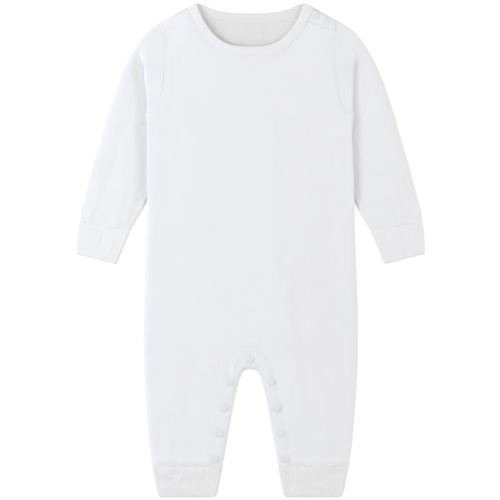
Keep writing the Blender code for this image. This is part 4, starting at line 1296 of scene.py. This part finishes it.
on_placket = np.hypot(front_tape[None, ..., 0] - SNAPS[:, None, None, 0],
                      front_tape[None, ..., 1] - SNAPS[:, None, None, 1]) < CAP_RADIUS
cap_feet = [front_tape[near][:, 2].mean() + JERSEY / 2 + CAP_GAP for near in on_placket]
back_profile = [(r, h * BACK_CAP) for r, h in CAP_PROFILE]
inseam_snaps("cap", cap_feet, 1.0, CAP_PROFILE, 40, resin)
inseam_snaps("back", BACK_FOOT, -1.0, back_profile, 40, resin)
inseam_snaps("joint", JOINT_LOW, 1.0, JOINT_PROFILE, 32, stud)

# Shoulder tape: the front's own points beside the wearer's left shoulder, moved out
TAPE_WALL = 0.4
TAPE_GAPS, TAPE_COLUMNS = 2, slice(1, -7)   # the front's last rows, and its columns, that it covers
TAPE_OUT, TAPE_DOME, TAPE_RIM = 0.5, 0.15, 4.0  # out at its rim, further inside, points to there
tape = front_left[front_half.at >= len(front_half.table_outer) - 1 - TAPE_GAPS, TAPE_COLUMNS]
out = np.cross(np.gradient(tape, axis=1), np.gradient(tape, axis=0))
out /= np.linalg.norm(out, axis=2, keepdims=True)
out *= np.sign(out[..., 2:])
rim = np.minimum.outer(*(np.minimum(np.arange(n), np.arange(n)[::-1]) for n in tape.shape[:2]))
tape = tape + out * (TAPE_OUT + TAPE_DOME * ease(rim / TAPE_RIM))[..., None]
shoulder = piece("shoulder_placket_cloth", tape, quads(numbered(tape)), facing,
                 np.dstack([travelled(tape, 1), travelled(tape, 0)]), None, TAPE_WALL)
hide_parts("shoulder_placket")
row = len(tape) // 2
columns = [int(round(share * (tape.shape[1] - 1))) for share in SHOULDER_SNAPS]
feet, tops = tape[row, columns] + out[row, columns] * TAPE_WALL / 2, out[row, columns]
small = [(r * SHOULDER_CAP_RADIUS / CAP_RADIUS, h * SHOULDER_CAP) for r, h in CAP_PROFILE]
shoulder_caps = turned("shoulder_snap_caps", feet, tops, small, 36, resin)
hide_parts("shoulder_snap_cap_1", "shoulder_snap_cap_2")

# ---- topstitching ----
STITCH, STITCH_PITCH, THREAD = 2.3, 3.1, 0.26   # a stitch's length, their pitch, the thread's radius
STITCH_SIDES = 6
STITCH_LOOK = 0.4                       # how far ahead and behind the run's direction is taken
THREAD_OUT = 0.08                       # how far a stitch's middle lies off the cloth
# Along a stitch: share of its length, of the thread's radius, and how far it sinks in, in radii
STITCH_FORM = ((-0.5, 0.05, -0.9), (-0.42, 0.7, -0.3), (-0.2, 1.0, 0.0),
               (0.2, 1.0, 0.0), (0.42, 0.7, -0.3), (0.5, 0.05, -0.9))


def stitches(name, runs):
    """Rows of short stitches along runs of points on the cloth's middle, each with its upward side.

    A stitch is a hexagon carried along the run's direction, thin and sunk at both ends.
    """
    centres, tangents, ups = [], [], []
    for points, up in runs:
        s = travelled(points, 0)
        at = np.arange(STITCH_PITCH / 2, s[-1], STITCH_PITCH)
        centre, ahead, behind = (np.stack([np.interp(at + step, s, points[:, k]) for k in range(3)],
                                          axis=1) for step in (0.0, STITCH_LOOK, -STITCH_LOOK))
        centres.append(centre + np.array((0.0, 0.0, up * (JERSEY / 2 + THREAD_OUT))))
        tangents.append((ahead - behind) / np.linalg.norm(ahead - behind, axis=1, keepdims=True))
        ups.append(np.broadcast_to((0.0, 0.0, up), centre.shape))
    centre, tangent, up = map(np.concatenate, (centres, tangents, ups))
    side = np.cross(tangent, up)
    side /= np.linalg.norm(side, axis=1, keepdims=True)
    up = np.cross(side, tangent)
    sizes = np.reshape((STITCH, THREAD, THREAD), (3, 1, 1))
    t, fat, sink = np.array(STITCH_FORM).T[..., None] * sizes
    angle = np.arange(STITCH_SIDES) * 2.0 * np.pi / STITCH_SIDES
    ring = (side[:, None, None] * (fat * np.cos(angle))[..., None]
            + up[:, None, None] * (fat * np.sin(angle) + sink)[..., None]
            + tangent[:, None, None] * np.repeat(t, STITCH_SIDES, axis=1)[..., None])
    points = centre[:, None, None] + ring
    return piece(name, points, tube_quads(numbered(points)), sewing)


def column_of(insets, wanted):
    """The grid column whose distance from its edge is nearest to the wanted one."""
    return int(np.argmin(np.abs(np.array(insets) - wanted)))


def over_middle(right, left, rows, column):
    """A run along a column from the wearer's right half to the left."""
    return np.concatenate([right[rows, column][::-1], left[rows, column]])


NECK_STITCH, HOLE_STITCH = 3.3, 4.2     # how far the stitches lie from the seam's tucked edge
neck_column = column_of(SEAM_COLUMNS, NECK_STITCH)
hole_column = -1 - column_of(EDGE_COLUMNS, HOLE_STITCH)
hole_rows = (front_half.at >= SEWN + 0.5) & (front_half.at <= SEWN + 11.0)
stitching = stitches("topstitching", [
    (over_middle(front_right, front_left, front_half.at >= NECK_AT, neck_column), 1.0),
    (front_left[hole_rows, hole_column], 1.0),
    (front_right[hole_rows, hole_column], 1.0),
    (over_middle(back_right, back_left, back_half.at >= BACK_NECK_AT, neck_column), 1.0),
    *((front_tape[:, column], 1.0) for column in PLACKET_STITCHES),
    *((back_tape[:, column], -1.0) for column in PLACKET_STITCHES),
    (tape[1], 1.0),
    (tape[-2], 1.0),
])

# ---- table, lamps and camera ----
TABLE_REACH, TABLE_Z = 6000.0, -0.2
TABLE_GLOW = 0.84                       # how brightly it shows to the camera, beside its shadow


def grey(value):
    """A neutral colour."""
    return value, value, value, 1.0


def table_top():
    """White table that shows as pure white to the camera and keeps a faint shadow of the cloth."""
    mat = bpy.data.materials.new("white table")
    n = Nodes(mat)
    rays = [n.add("ShaderNodeLightPath", output=f"Is {kind} Ray")
            for kind in ("Camera", "Glossy", "Transmission")]
    bounce = n.add("ShaderNodeBsdfDiffuse", {}, {"Color": grey(0.85)})
    shaded = n.add("ShaderNodeBsdfDiffuse", {}, {"Color": grey(0.22)})
    glow = n.add("ShaderNodeEmission", {}, {"Color": grey(1.0), "Strength": TABLE_GLOW})
    white = n.add("ShaderNodeAddShader", {}, {0: shaded, 1: glow})
    both = n.add("ShaderNodeMixShader", {}, {0: rays[0] + rays[1] + rays[2], 1: bounce, 2: white})
    n.add("ShaderNodeOutputMaterial", {}, {"Surface": both})
    signs = np.array([(-1.0, -1.0), (1.0, -1.0), (1.0, 1.0), (-1.0, 1.0)])
    corners = np.column_stack([signs * TABLE_REACH, np.full(4, TABLE_Z)]) * MM
    mesh = bpy.data.meshes.new("table_top")
    mesh.from_pydata(corners.tolist(), [], [(0, 1, 2, 3)])
    mesh.materials.append(mat)
    placed("table_top", mesh)


def softbox(name, place, size, energy, colour):
    """Square area lamp aimed at the middle of the garment."""
    lamp = bpy.data.lights.new(name, "AREA")
    lamp.size = size
    lamp.energy = energy
    lamp.color = colour
    obj = placed(name, lamp)
    obj.location = place
    x, y, z = place
    obj.rotation_euler = (np.arctan2(np.hypot(x, y), z), 0.0, np.arctan2(y, x) + np.pi / 2)


table_top()
softbox("key", (-1.55, 0.35, 0.8), 0.55, 15.6, (0.95, 0.97, 1.08))
softbox("fill", (2.6, 0.15, 1.1), 1.0, 22.3, (1.06, 1.0, 0.92))

AIR = 0.7               # how much the white air lights the cloth; to the camera it shows fully
world = bpy.data.worlds.new("studio")
bpy.context.scene.world = world
sky = Nodes(world)
direct = sky.add("ShaderNodeLightPath", output="Is Camera Ray")
air = sky.add("ShaderNodeBackground", {}, {"Color": grey(1.0), "Strength": direct * (1.0 - AIR) + AIR})
sky.add("ShaderNodeOutputWorld", {}, {"Surface": air})

VIEW_MM = 607.3         # width of the picture at the garment
CAMERA_X, CAMERA_HEIGHT = -0.0004, 6.0
camera = bpy.data.cameras.new("camera")
camera.lens = camera.sensor_width * CAMERA_HEIGHT / (VIEW_MM * MM)
camera.clip_end = 50.0
viewer = placed("camera", camera)
viewer.location = (CAMERA_X, 0.0, CAMERA_HEIGHT)
bpy.context.scene.camera = viewer
bpy.context.scene.view_settings.view_transform = "Standard"
